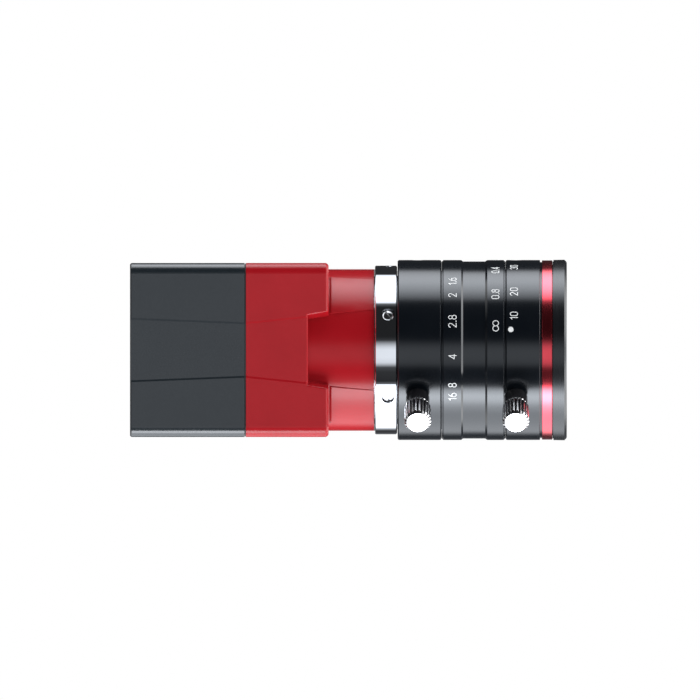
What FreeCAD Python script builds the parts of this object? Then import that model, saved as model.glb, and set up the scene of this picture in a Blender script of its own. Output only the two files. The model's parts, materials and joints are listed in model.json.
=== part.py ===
import FreeCAD, Part
import math
import os
import re
import Sketcher

# Machine vision camera: a 29 mm square two-piece housing with a fixed focal
# length C-mount lens. Millimetres, +Z up, +X along the optical axis towards
# the front of the lens. The origin is midway between the two M3 mounting
# holes on the underside of the front housing.
#
# Every piece is drawn in the axis frame: x is the distance in front of the
# rear face, measured along the optical axis, and y = z = 0 on that axis.
# The last step of each piece moves it into the part frame.

doc = FreeCAD.newDocument("VisionCamera")
V = FreeCAD.Vector

# ---------------------------------------------------------------- dimensions
TABLE = [
    # housing
    ("half", 14.5, "half of the 29 mm square body"),
    ("x_origin", 28.0, "station of the underside M3 pair"),
    ("edge_round", 1.8, "rounding along the long body edges"),
    ("rear_round", 0.35, "rounding round the rear face"),
    ("front_round", 0.6, "rounding round the front of the square part"),
    ("rear_end", 19.08, "front end of the rear housing"),
    ("gasket_end", 19.33, "front end of the seal"),
    ("box_end", 33.1, "front face of the square part"),
    ("neck_start", 33.45, "start of the round snout"),
    ("flange", 40.7, "lens flange plane"),
    ("snout_r", 13.62, "radius of the round snout"),
    ("snout_front_r", 13.55, "radius of the snout at its front"),
    ("band_depth", 0.06, "depth of the recessed band"),
    ("band_r", 13.46, "radius of the band on the snout"),
    ("band_rear", 5.37, "half width of the band at the rear face"),
    ("band_waist", 4.62, "half width of the band at the seal"),
    ("band_front", 6.85, "half width of the band at the flange"),
    ("notch_start", 29.65, "rear wall of the notch"),
    ("notch_floor", 10.2, "depth of the notch from the axis"),
    ("notch_half", 5.88, "half width of the notch at its rear wall"),
    ("notch_lip", 0.2, "bevel at the top of the rear wall"),
    ("notch_flare", 0.17, "widening of the notch per mm forward"),
    ("notch_draft", 0.36, "slope of the notch side walls"),
    ("panel_half", 12.95, "half size of the rear panel"),
    ("panel_seat", 13.0, "half size of the panel recess"),
    ("panel_rear", 0.1, "outer face of the rear panel"),
    ("panel_front", 1.6, "inner face of the rear panel"),
    ("cavity_half", 12.0, "half size of the rear cavity"),
    ("cavity_arm", 8.0, "half width of the cavity between corner posts"),
    ("pocket_half", 11.8, "half size of the board pocket"),
    ("pocket_arm", 7.9, "half width of the pocket arms"),
    ("pocket_end", 24.6, "front end of the board pocket"),
    ("light_r", 10.6, "light tunnel radius"),
    ("seat_x", 31.0, "filter seat"),
    ("seat_r", 11.5, "bore in front of the filter seat"),
    ("thread_start", 36.5, "rear end of the lens thread"),
    ("thread_r", 12.72, "lens thread bore"),
    ("corner", 10.9, "corner screw position from the axis"),
    ("corner_hole", 1.1, "corner screw clearance radius"),
    ("corner_shank", 0.98, "corner screw shank radius"),
    ("corner_head", 1.85, "corner screw head radius"),
    ("m_tap", 1.25, "radius of the M3 tapped holes"),
    ("m_depth", 4.0, "depth of the M3 tapped holes"),
    ("m_side", 10.0, "half of the 20 mm M3 spacing"),
    # boards
    ("board_half", 11.5, "half size of the boards"),
    ("board_arm", 7.6, "half width of the board arms"),
    ("board_thick", 1.2, "board thickness"),
    ("board_a", 8.2, "rear face of the interface board"),
    ("board_b", 13.6, "rear face of the processor board"),
    ("board_c", 20.4, "rear face of the sensor board"),
    ("stack_y", 9.8, "board screw position along Y"),
    ("stack_z", 6.4, "board screw position along Z"),
    ("stack_r", 0.8, "board screw shank radius"),
    ("stack_head", 1.45, "board screw head radius"),
    ("spacer_r", 1.35, "board spacer radius"),
    ("usb_z", 5.0, "height of the data port"),
    ("io_y", -3.2, "position of the round port along Y"),
    ("io_z", -5.4, "position of the round port along Z"),
    ("io_r", 4.3, "outer radius of the round port"),
    ("lamp_y", 7.4, "position of the status light along Y"),
    ("lamp_z", -5.4, "position of the status light along Z"),
    # lens, fixed part
    ("ring_gap", 0.14, "joint between snout and mount ring"),
    ("mount_r", 14.06, "mount ring radius"),
    ("mount_end", 44.52, "front face of the mount ring"),
    ("mount_bore", 12.4, "spigot bore in the mount ring"),
    ("grub_x", 43.0, "station of the mount ring grub screws"),
    ("barrel_r", 15.0, "lens barrel radius"),
    ("band_low_r", 14.76, "radius of the reduced band"),
    ("sleeve_r", 13.2, "sleeve under the iris ring"),
    ("bore_r", 11.45, "bore of the fixed barrel"),
    ("neck_r", 13.4, "helicoid neck radius"),
    ("neck_end", 68.6, "front end of the helicoid neck"),
    ("centre_start", 52.1, "rear face of the centre barrel"),
    ("centre_end", 62.4, "front face of the centre barrel"),
    # lens, rings
    ("iris_start", 44.6, "rear face of the iris ring"),
    ("iris_end", 51.9, "front face of the iris ring"),
    ("iris_bore", 13.25, "bore of the iris ring"),
    ("iris_screw_x", 47.95, "station of the iris lock screw"),
    ("focus_start", 62.6, "rear face of the focus ring"),
    ("focus_end", 68.3, "front edge of the focus ring grip"),
    ("focus_bore", 13.46, "bore of the focus ring"),
    ("focus_screw_x", 64.3, "station of the focus lock screw"),
    ("accent_start", 68.65, "rear face of the coloured ring"),
    ("accent_end", 70.4, "front face of the coloured ring"),
    ("front_end", 72.8, "front end of the lens"),
    ("filter_r", 13.25, "filter thread radius"),
    ("lock_angle", 30.0, "lock screws, degrees below the -Y side"),
    ("tap_r", 1.03, "radius of the M2 holes in the rings"),
    ("shank_r", 0.98, "lock screw shank radius"),
    ("head_r", 2.22, "lock screw head radius"),
    ("head_base", 16.1, "head underside, from the optical axis"),
    ("knurl_base", 19.2, "start of the knurl, from the optical axis"),
    ("collar_r", 1.98, "plain part of the head, radius"),
    ("lock_neck_r", 1.2, "neck under the head, radius"),
    ("head_end", 24.25, "head end face, from the optical axis"),
    ("pad_r", 0.9, "pressure pad radius"),
    # moving cell
    ("cell_rear", 42.6, "rear end of the lens cell"),
    ("cell_r", 11.4, "lens cell radius"),
    ("cell_bore", 10.5, "rear bore of the lens cell"),
    ("cell_front", 70.8, "front end of the lens cell"),
    ("pin_x", 49.6, "station of the iris drive pin"),
    ("pin_r", 0.6, "iris drive pin radius"),
    ("travel", 3.6, "focus travel"),
    ("key_x", 61.0, "station of the guide key"),
    ("key_r", 0.75, "guide key radius"),
    # iris
    ("iris_base_x", 53.75, "rear face of the iris base plate"),
    ("iris_shoulder", 54.55, "shoulder in front of the base plate"),
    ("cam_front", 53.0, "front face of the cam ring"),
    ("cam_thick", 0.8, "cam ring flange thickness"),
    ("cam_rear", 45.2, "rear end of the cam ring skirt"),
    ("blade_x", 53.65, "blade surface at its pivot"),
    ("blade_in", 5.75, "inner radius of a blade"),
    ("blade_out", 9.0, "outer radius of a blade"),
    ("blade_thick", 0.05, "blade thickness"),
    ("pivot_r", 9.6, "radius of the blade pivots"),
    ("drive_r", 7.9, "radius of the drive studs, iris open"),
    ("stud_r", 0.3, "blade stud radius"),
]
sheet = doc.addObject("Spreadsheet::Sheet", "Dims")
D = {}
for row, (alias, value, note) in enumerate(TABLE, start=1):
    sheet.set("A%d" % row, note)
    sheet.set("B%d" % row, repr(value))
    sheet.setAlias("B%d" % row, alias)
    D[alias] = float(value)
doc.recompute()


def terms(text):
    """Split 'flange + 0.3 - ring_gap' into signed terms."""
    return re.findall(r"([+-]?)\s*([A-Za-z_][A-Za-z_0-9]*|[0-9.]+)", text)


def num(text):
    """Value of a sum of sheet names and numbers."""
    if not isinstance(text, str):
        return float(text)
    total = 0.0
    for sign, word in terms(text):
        value = float(word) if word[0].isdigit() or word[0] == "." else D[word]
        total += -value if sign == "-" else value
    return total


def expr(text):
    """The same sum as an expression on the sheet."""
    if not isinstance(text, str):
        return repr(float(text))
    out = ""
    for sign, word in terms(text):
        name = word if word[0].isdigit() or word[0] == "." else "Dims." + word
        out += (" %s " % (sign or ("+" if out else ""))) + name
    return out.strip()


def bind(obj, **props):
    for key, text in props.items():
        obj.setExpression(key.replace("__", "."), expr(text))
    return obj


def plane(body, role):
    for feat in body.Origin.OriginFeatures:
        if feat.Role == role:
            return feat
    raise RuntimeError("no plane " + role)


def outline(body, name, points, role="XY_Plane"):
    """A closed sketch of straight edges whose corners are bound to the sheet."""
    sk = body.newObject("Sketcher::SketchObject", name)
    sk.AttachmentSupport = [(plane(body, role), "")]
    sk.MapMode = "FlatFace"
    count = len(points)
    xy = [(num(px), num(py)) for px, py in points]
    for i in range(count):
        a, b = xy[i], xy[(i + 1) % count]
        sk.addGeometry(Part.LineSegment(V(a[0], a[1], 0), V(b[0], b[1], 0)))
    for i in range(count):
        sk.addConstraint(Sketcher.Constraint("Coincident", i, 2, (i + 1) % count, 1))
    for i in range(count):
        n = sk.addConstraint(Sketcher.Constraint("DistanceX", -1, 1, i, 1, xy[i][0]))
        sk.setExpression("Constraints[%d]" % n, expr(points[i][0]))
        n = sk.addConstraint(Sketcher.Constraint("DistanceY", -1, 1, i, 1, xy[i][1]))
        sk.setExpression("Constraints[%d]" % n, expr(points[i][1]))
    return sk


def turned(name, points):
    """A piece turned about the optical axis."""
    body = doc.addObject("PartDesign::Body", name)
    sk = outline(body, name + "_profile", points)
    rev = body.newObject("PartDesign::Revolution", name + "_turn")
    rev.Profile = sk
    rev.ReferenceAxis = (sk, ["H_Axis"])
    rev.Angle = 360.0
    sk.Visibility = False
    body.Tip = rev
    return body


def box(name, x0, x1, y0, y1, z0, z1):
    b = doc.addObject("Part::Box", name)
    bind(b, Placement__Base__x=x0, Placement__Base__y=y0, Placement__Base__z=z0)
    b.setExpression("Length", "(%s) - (%s)" % (expr(x1), expr(x0)))
    b.setExpression("Width", "(%s) - (%s)" % (expr(y1), expr(y0)))
    b.setExpression("Height", "(%s) - (%s)" % (expr(z1), expr(z0)))
    return b


def rod(name, x0, x1, r, y=0.0, z=0.0, sweep=360.0, start=0.0):
    """A cylinder along the optical axis, from station x0 to x1."""
    c = doc.addObject("Part::Cylinder", name)
    turn = FreeCAD.Rotation(V(1, 0, 0), start) * FreeCAD.Rotation(V(0, 1, 0), 90)
    c.Placement = FreeCAD.Placement(V(0, 0, 0), turn)
    bind(c, Radius=r, Placement__Base__x=x0, Placement__Base__y=y, Placement__Base__z=z)
    c.setExpression("Height", "(%s) - (%s)" % (expr(x1), expr(x0)))
    c.Angle = sweep
    return c


def outward(angle):
    """Unit vector from the axis, 'angle' degrees below the -Y side."""
    a = math.radians(angle)
    return V(0, -math.cos(a), -math.sin(a))


def radial(name, x, r0, r1, r, angle):
    """A cylinder along a radius, from r0 to r1."""
    c = doc.addObject("Part::Cylinder", name)
    n = outward(angle)
    c.Placement = FreeCAD.Placement(V(0, 0, 0), FreeCAD.Rotation(V(0, 0, 1), n))
    bind(c, Radius=r, Placement__Base__x=x)
    c.setExpression("Placement.Base.y", "(%s) * %.9f" % (expr(r0), n.y))
    c.setExpression("Placement.Base.z", "(%s) * %.9f" % (expr(r0), n.z))
    c.setExpression("Height", "(%s) - (%s)" % (expr(r1), expr(r0)))
    return c


def fuse(name, parts):
    f = doc.addObject("Part::MultiFuse", name)
    f.Shapes = parts
    return f


def cut(name, base, tools):
    tool = tools[0] if len(tools) == 1 else fuse(name + "_tools", tools)
    c = doc.addObject("Part::Cut", name)
    c.Base = base
    c.Tool = tool
    return c


def group(name, parts):
    g = doc.addObject("Part::Compound", name)
    g.Links = parts
    return g


NODES = []


def place(obj, label):
    """Name a finished piece and move it into the part frame."""
    if obj.TypeId in ("Part::Box", "Part::Cylinder", "Part::Cone"):
        # a bare primitive keeps its own placement inside a one-piece group
        obj = group(label + "_piece", [obj])
    obj.Label = label
    start = obj.Placement.Base
    obj.setExpression("Placement.Base.x", "%.9f - Dims.x_origin" % start.x)
    obj.setExpression("Placement.Base.z", "%.9f + Dims.half" % start.z)
    NODES.append(obj)
    return obj


def wedge(name, x0, x1, w0, w1, d0, d1, turn):
    """A prism, w0 half wide at x0 and w1 at x1, on one of the four sides."""
    w = doc.addObject("Part::Wedge", name)
    w.Ymin, w.Ymax = num(x0), num(x1)
    w.Xmin, w.Xmax = -w0, w0
    w.X2min, w.X2max = -w1, w1
    w.Zmin, w.Zmax = num(d0), num(d1)
    w.Z2min, w.Z2max = num(d0), num(d1)
    bind(w, Ymin=x0, Ymax=x1, Zmin=d0, Zmax=d1, Z2min=d0, Z2max=d1)
    frame = FreeCAD.Rotation(V(0, 0, 1), V(1, 0, 0), V(0, 1, 0), "ZXY")
    w.Placement = FreeCAD.Placement(V(0, 0, 0), FreeCAD.Rotation(V(1, 0, 0), turn) * frame)
    return w


def drafted(name, levels, turn):
    """A prism between two levels of one side. Each level gives its height and
    the station and half width of its rear and front ends."""
    sections = []
    for k, (z, (x0, w0), (x1, w1)) in enumerate(levels):
        sk = doc.addObject("Sketcher::SketchObject", "%s_%d" % (name, k))
        pts = [V(x0, -w0, 0), V(x1, -w1, 0), V(x1, w1, 0), V(x0, w0, 0)]
        for i in range(4):
            sk.addGeometry(Part.LineSegment(pts[i], pts[(i + 1) % 4]), False)
        sk.Placement = FreeCAD.Placement(V(0, 0, z), FreeCAD.Rotation())
        sections.append(sk)
    loft = doc.addObject("Part::Loft", name)
    loft.Sections = sections
    loft.Solid = True
    loft.Ruled = True
    loft.Placement = FreeCAD.Placement(V(0, 0, 0), FreeCAD.Rotation(V(1, 0, 0), turn))
    return loft


def slope(x):
    """Half width of the recessed band at station x, in front of the seal."""
    t = (x - D["gasket_end"]) / (D["flange"] - D["gasket_end"])
    return D["band_waist"] + (D["band_front"] - D["band_waist"]) * t


def square_body(name, x0, x1, half_rear, half_front, end, radius):
    """The square housing block: rounded along its length and round one end,
    with the shallow bow-tie band and its gently sloped edges cut into its four
    sides."""
    body = doc.addObject("PartDesign::Body", name)
    sk = outline(body, name + "_square", [("-half", "-half"), ("half", "-half"), ("half", "half"), ("-half", "half")], "YZ_Plane")
    sk.AttachmentOffset = FreeCAD.Placement(V(0, 0, num(x0)), FreeCAD.Rotation())
    sk.setExpression("AttachmentOffset.Base.z", expr(x0))
    pad = body.newObject("PartDesign::Pad", name + "_block")
    pad.Profile = sk
    pad.setExpression("Length", "(%s) - (%s)" % (expr(x1), expr(x0)))
    doc.recompute()
    names = []
    for i, e in enumerate(pad.Shape.Edges, start=1):
        d = e.Vertexes[1].Point - e.Vertexes[0].Point
        if abs(d.x) > 1:
            names.append("Edge%d" % i)
    fil = body.newObject("PartDesign::Fillet", name + "_edges")
    fil.Base = (pad, names)
    fil.setExpression("Radius", "Dims.edge_round")
    doc.recompute()
    names = []
    for i, e in enumerate(fil.Shape.Edges, start=1):
        if all(abs(v.Point.x - num(end)) < 0.001 for v in e.Vertexes):
            names.append("Edge%d" % i)
    rim = body.newObject("PartDesign::Fillet", name + "_rim")
    rim.Base = (fil, names)
    rim.setExpression("Radius", "Dims." + radius)
    doc.recompute()
    grow = 1.2
    rate = (half_front - half_rear) / (num(x1) - num(x0))
    a, b = num(x0) - grow, num(x1) + grow
    wa, wb = half_rear - rate * grow, half_front + rate * grow
    band = outline(body, name + "_band", [(a, -wa), (b, -wb), (b, wb), (a, wa)], "XZ_Plane")
    band.AttachmentOffset = FreeCAD.Placement(V(0, 0, D["half"]), FreeCAD.Rotation())
    band.setExpression("AttachmentOffset.Base.z", "Dims.half")
    doc.recompute()
    before = rim.Shape.Volume
    pocket = body.newObject("PartDesign::Pocket", name + "_recess")
    pocket.Profile = band
    pocket.setExpression("Length", "Dims.band_depth")
    pocket.TaperAngle = -79.0
    doc.recompute()
    if before - pocket.Shape.Volume < 1.0:
        pocket.Reversed = True
        doc.recompute()
    if before - pocket.Shape.Volume < 1.0:
        raise RuntimeError("the band cuts nothing in " + name)
    axis = [f for f in body.Origin.OriginFeatures if f.Role == "X_Axis"][0]
    pat = body.newObject("PartDesign::PolarPattern", name + "_four_sides")
    pat.Originals = [pocket]
    pat.Axis = (axis, [""])
    pat.Angle = 360.0
    pat.Occurrences = 4
    body.Tip = pat
    doc.recompute()
    return body


def corners(make, tag):
    out = []
    for i, (sy, sz) in enumerate(((1, 1), (1, -1), (-1, 1), (-1, -1))):
        out.append(make("%s_%d" % (tag, i), "corner" if sy > 0 else "-corner", "corner" if sz > 0 else "-corner"))
    return out


# ------------------------------------------------------------- rear housing
shell = square_body("rear_shell", "0.0", "rear_end", D["band_rear"], D["band_waist"], "0.0", "rear_round")
rear_cuts = [
    box("rear_seat", "-1.0", "panel_front + 0.02", "-panel_seat", "panel_seat", "-panel_seat", "panel_seat"),
    box("rear_cavity_a", "1.0", "20.0", "-cavity_half", "cavity_half", "-cavity_arm", "cavity_arm"),
    box("rear_cavity_b", "1.0", "20.0", "-cavity_arm", "cavity_arm", "-cavity_half", "cavity_half"),
]
rear_cuts += corners(lambda n, y, z: rod(n, "1.0", "20.0", "corner_hole", y, z), "rear_post")
place(cut("rear_housing_cut", shell, rear_cuts), "rear_housing")

# ------------------------------------------------------------------- gasket
seal = box("gasket_sheet", "rear_end", "gasket_end", "-half + 0.3", "half - 0.3", "-half + 0.3", "half - 0.3")
seal_cuts = [
    box("gasket_a", "18.0", "20.0", "-cavity_half", "cavity_half", "-cavity_arm", "cavity_arm"),
    box("gasket_b", "18.0", "20.0", "-cavity_arm", "cavity_arm", "-cavity_half", "cavity_half"),
]
seal_cuts += corners(lambda n, y, z: rod(n, "18.0", "20.0", "corner_hole", y, z), "gasket_hole")
seal_cut = cut("gasket_cut", seal, seal_cuts)
doc.recompute()


def soften(name, base, radius, wanted):
    """Round the edges of base that 'wanted' picks, given their two ends."""
    edges = []
    for i, e in enumerate(base.Shape.Edges, start=1):
        if wanted(e.Vertexes[0].Point, e.Vertexes[-1].Point):
            edges.append((i, radius, radius))
    f = doc.addObject("Part::Fillet", name)
    f.Base = base
    f.Edges = edges
    doc.recompute()
    if not edges or f.Shape.isNull() or not f.Shape.isValid() or "Invalid" in f.State:
        raise RuntimeError("rounding failed: " + name)
    return f


def seal_corner(p, q):
    return abs(p.x - q.x) > 0.2 and min(abs(p.y), abs(p.z)) > D["half"] - 0.4


place(soften("gasket_round", seal_cut, D["edge_round"] - 0.3, seal_corner), "housing_gasket")

# ------------------------------------------------------------ front housing
# Square block with a notch in each side that lays bare the round snout.
block = square_body("front_block", "gasket_end", "box_end", D["band_waist"], slope(D["box_end"]), "box_end", "front_round")
notches = []
def notch_wall(x, z):
    """Half width of the notch between its drafted, forward flaring side walls."""
    return D["notch_half"] + D["notch_flare"] * (x - D["notch_start"]) + D["notch_draft"] * (z - D["half"])


def notch_level(z, x0, x1):
    return (z, (x0, notch_wall(x0, z)), (x1, notch_wall(x1, z)))


x0, low, lip, high = D["notch_start"], D["notch_floor"], D["half"] - D["band_depth"] - D["notch_lip"], D["half"] + 1.5
for k in range(4):
    notches.append(drafted("notch_%d" % k, [notch_level(low, x0, 36.0), notch_level(high, x0, 36.0)], 90 * k))
    notches.append(drafted("notch_lip_%d" % k, [notch_level(lip, x0, x0 + 1.0), notch_level(high, x0 - (high - lip), x0 + 1.0)], 90 * k))
block_cut = cut("front_block_cut", block, notches)
doc.recompute()


def far(p):
    return max(abs(p.y), abs(p.z))


def near(p):
    return min(abs(p.y), abs(p.z))


def notch_edge(p, q):
    """The outer edges of the notch side walls: along the side, round the
    front rounding and down the front face."""
    for v in (p, q):
        if abs(near(v) - notch_wall(v.x, far(v))) > 0.02 or far(v) < D["notch_floor"] - 0.01:
            return False
    if max(far(p), far(q)) < D["notch_floor"] + 0.01:
        return False
    return min(p.x, q.x) > D["notch_start"] - 0.01 and max(p.x, q.x) > D["notch_start"] + 0.01


rounded = soften("front_block_round", block_cut, 0.3, notch_edge)

snout = turned("snout", [
    ("gasket_end", 0.001), ("gasket_end", "band_r + 0.01"), ("box_end + 0.14", "band_r + 0.01"),
    ("neck_start - 0.1", "snout_r - 0.08"), ("neck_start + 0.12", "snout_r"),
    ("flange - 0.16", "snout_front_r"), ("flange - 0.03", "snout_front_r - 0.05"), ("flange", "snout_front_r - 0.16"),
    ("flange", 0.001)])
def band_walls(x):
    """Half widths of the snout band at levels 11.3 and 16, for a wall that
    slopes 45 degrees to the snout's surface."""
    w = slope(x)
    z = math.sqrt(D["snout_r"] ** 2 - w ** 2)
    rise = math.tan(math.radians(45.0) + math.asin(w / D["snout_r"]))
    return w - rise * (z - 11.3), w + rise * (16.0 - z)


keep = rod("snout_core", "gasket_end", "flange + 1.0", "band_r")
bands = []
for k in range(4):
    x0, x1 = D["box_end"] - 4.0, D["flange"] + 1.0
    (a0, b0), (a1, b1) = band_walls(x0), band_walls(x1)
    bands.append(drafted("snout_band_%d" % k, [(11.3, (x0, a0), (x1, a1)), (16.0, (x0, b0), (x1, b1))], 90 * k))
band_tool = cut("snout_band_tool", fuse("snout_bands", bands), [keep])
snout_cut = cut("snout_banded", snout, [band_tool])
front_solid = fuse("front_solid", [rounded, snout_cut])
front_cuts = [
    box("pocket_a", "18.0", "pocket_end", "-pocket_half", "pocket_half", "-pocket_arm", "pocket_arm"),
    box("pocket_b", "18.0", "pocket_end", "-pocket_arm", "pocket_arm", "-pocket_half", "pocket_half"),
    rod("tunnel", "20.0", "seat_x", "light_r"),
    rod("seat_bore", "seat_x", "thread_start", "seat_r"),
    rod("lens_thread", "thread_start", "flange + 1.0", "thread_r"),
]
front_cuts += corners(lambda n, y, z: rod(n, "18.0", "26.0", "corner_hole - 0.1", y, z), "front_post")
for i, (sy, sz) in enumerate(((1, 1), (1, -1), (-1, 1), (-1, -1))):
    front_cuts.append(rod("stack_hole_%d" % i, "24.0", "28.2", "stack_r + 0.02",
                          "stack_y" if sy > 0 else "-stack_y", "stack_z" if sz > 0 else "-stack_z"))
for i, sy in enumerate(("m_side", "-m_side")):
    c = doc.addObject("Part::Cylinder", "m_hole_%d" % i)
    bind(c, Radius="m_tap", Placement__Base__x="x_origin", Placement__Base__y=sy, Placement__Base__z="-half - 0.5", Height="m_depth + 0.5")
    front_cuts.append(c)
place(cut("front_housing_cut", front_solid, front_cuts), "front_housing")

# --------------------------------------------------------------- rear panel
panel = box("panel_plate", "panel_rear", "panel_front", "-panel_half", "panel_half", "-panel_half", "panel_half")
panel_cuts = [
    box("panel_usb", "-0.5", "2.0", "-6.35", "6.35", "usb_z - 1.75", "usb_z + 1.75"),
    rod("panel_io", "-0.5", "2.0", "io_r + 0.06", "io_y", "io_z"),
    rod("panel_lamp", "-0.5", "2.0", 1.05, "lamp_y", "lamp_z"),
    rod("panel_lock_a", "-0.5", "2.0", 0.8, 9.2, "usb_z"),
    rod("panel_lock_b", "-0.5", "2.0", 0.8, -9.2, "usb_z"),
]


def sink(name, y, z):
    c = doc.addObject("Part::Cone", name)
    c.Placement = FreeCAD.Placement(V(0, 0, 0), FreeCAD.Rotation(V(0, 1, 0), 90))
    bind(c, Placement__Base__x="panel_rear - 0.001", Placement__Base__y=y, Placement__Base__z=z,
         Radius1="corner_head + 0.02", Radius2="corner_shank + 0.07", Height=0.95)
    return c


panel_cuts += corners(sink, "panel_sink")
panel_cuts += corners(lambda n, y, z: rod(n, "0.0", "2.0", "corner_hole", y, z), "panel_hole")
place(cut("panel_cut", panel, panel_cuts), "rear_panel")


def long_screw(name, y, z):
    head = doc.addObject("Part::Cone", name + "_head")
    head.Placement = FreeCAD.Placement(V(0, 0, 0), FreeCAD.Rotation(V(0, 1, 0), 90))
    bind(head, Placement__Base__x="panel_rear + 0.02", Placement__Base__y=y, Placement__Base__z=z,
         Radius1="corner_head - 0.02", Radius2="corner_shank", Height=0.9)
    shank = rod(name + "_shank", "panel_rear + 0.9", "25.4", "corner_shank", y, z)
    solid = fuse(name + "_solid", [head, shank])
    bars = [
        box(name + "_bar_a", "-0.5", "panel_rear + 0.55", y + " - 0.85", y + " + 0.85", z + " - 0.2", z + " + 0.2"),
        box(name + "_bar_b", "-0.5", "panel_rear + 0.55", y + " - 0.2", y + " + 0.2", z + " - 0.85", z + " + 0.85"),
    ]
    return cut(name + "_cut", solid, bars)


place(group("corner_screws", corners(long_screw, "corner_screw")), "rear_panel_screws")

# -------------------------------------------------------------------- ports
shell_out = box("usb_outer", "0.35", "8.15", "-6.25", "6.25", "usb_z - 1.65", "usb_z + 1.65")
shell_in = box("usb_inner", "0.0", "7.2", "-5.95", "5.95", "usb_z - 1.35", "usb_z + 1.35")
place(cut("usb_shell_cut", shell_out, [shell_in]), "data_port_shell")
tongue = fuse("usb_tongue_fuse", [
    box("usb_base", "4.6", "7.18", "-5.9", "5.9", "usb_z - 1.3", "usb_z + 1.3"),
    box("usb_tongue_a", "1.0", "4.7", "-5.3", "1.2", "usb_z - 0.35", "usb_z + 0.35"),
    box("usb_tongue_b", "1.0", "4.7", "2.0", "5.3", "usb_z - 0.35", "usb_z + 0.35"),
])
place(tongue, "data_port_tongue")
strips = []
for i, y in enumerate((-4.9, -3.6, -2.3, -1.0, 0.3, 2.3, 2.95, 3.6, 4.25, 4.9)):
    strips.append(box("usb_strip_%d" % i, "1.3", "4.55", y - 0.18, y + 0.18, "usb_z + 0.36", "usb_z + 0.44"))
place(group("usb_strips", strips), "data_port_contacts")

io_out = rod("io_outer", "0.3", "8.15", "io_r", "io_y", "io_z")
io_in = rod("io_inner", "0.0", "9.0", "io_r - 0.65", "io_y", "io_z")
io_key = box("io_keyway", "0.0", "2.8", "io_y - 0.5", "io_y + 0.5", "io_z + 3.2", "io_z + 4.0")
place(cut("io_shell_cut", io_out, [io_in, io_key]), "signal_port_shell")
pins, pin_holes = [], []
for i in range(6):
    a = math.radians(60 * i + 30)
    py = "io_y + %.4f" % (2.0 * math.cos(a)) if math.cos(a) > 0 else "io_y - %.4f" % (-2.0 * math.cos(a))
    pz = "io_z + %.4f" % (2.0 * math.sin(a)) if math.sin(a) > 0 else "io_z - %.4f" % (-2.0 * math.sin(a))
    pins.append(rod("io_pin_%d" % i, "1.2", "8.18", 0.35, py, pz))
    pin_holes.append(rod("io_pin_hole_%d" % i, "1.0", "9.0", 0.36, py, pz))
place(cut("io_insert_cut", rod("io_insert", "3.4", "8.1", "io_r - 0.68", "io_y", "io_z"), pin_holes), "signal_port_insert")
place(group("io_pins", pins), "signal_port_pins")

lamp = fuse("lamp_fuse", [rod("lamp_rod", "0.15", "7.6", 0.98, "lamp_y", "lamp_z"),
                          rod("lamp_collar", "panel_front + 0.05", "panel_front + 0.75", 1.6, "lamp_y", "lamp_z")])
place(lamp, "status_light_pipe")

# ------------------------------------------------------------------- boards


def board(name, start, label):
    a = box(name + "_a", start, start + " + board_thick", "-board_half", "board_half", "-board_arm", "board_arm")
    b = box(name + "_b", start, start + " + board_thick", "-board_arm", "board_arm", "-board_half", "board_half")
    holes = []
    for i, (sy, sz) in enumerate(((1, 1), (1, -1), (-1, 1), (-1, -1))):
        holes.append(rod("%s_hole_%d" % (name, i), start + " - 0.5", start + " + 2.0", "stack_r + 0.1",
                         "stack_y" if sy > 0 else "-stack_y", "stack_z" if sz > 0 else "-stack_z"))
    return place(cut(name + "_cut", fuse(name + "_cross", [a, b]), holes), label)


board("board_one", "board_a", "interface_board")
board("board_two", "board_b", "processor_board")
board("board_three", "board_c", "sensor_board")
place(box("processor", "board_b + 1.21", "board_b + 2.4", "-5.0", "5.0", "-6.2", "3.8"), "processor_chip")
place(group("stacking", [
    box("stack_plug_a", "board_a + 1.21", "board_b - 0.01", "-6.5", "6.5", "6.4", "9.6"),
    box("stack_plug_b", "board_b + 1.21", "board_c - 0.01", "-6.5", "6.5", "-10.6", "-7.6"),
]), "board_connectors")

tubes, studs = [], []
for i, (sy, sz) in enumerate(((1, 1), (1, -1), (-1, 1), (-1, -1))):
    y = "stack_y" if sy > 0 else "-stack_y"
    z = "stack_z" if sz > 0 else "-stack_z"
    for tag, x0, x1 in (("a", "board_a + 1.21", "board_b - 0.01"), ("b", "board_b + 1.21", "board_c - 0.01"),
                        ("c", "board_c + 1.21", "pocket_end - 0.01")):
        tubes.append(cut("spacer_%s%d" % (tag, i), rod("spacer_out_%s%d" % (tag, i), x0, x1, "spacer_r", y, z),
                         [rod("spacer_in_%s%d" % (tag, i), x0 + " - 1.0", x1 + " + 1.0", "stack_r + 0.1", y, z)]))
    s = fuse("stack_screw_%d" % i, [rod("stack_head_%d" % i, "board_a - 0.95", "board_a - 0.01", "stack_head", y, z),
                                    rod("stack_shank_%d" % i, "board_a - 0.5", "28.0", "stack_r", y, z)])
    studs.append(cut("stack_screw_cut_%d" % i, s, [
        box("stack_slot_%d" % i, "board_a - 2.0", "board_a - 0.55", y + " - 1.6", y + " + 1.6", z + " - 0.18", z + " + 0.18")]))
place(group("spacer_set", tubes), "board_spacers")
place(group("stack_screws", studs), "board_screws")

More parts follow.
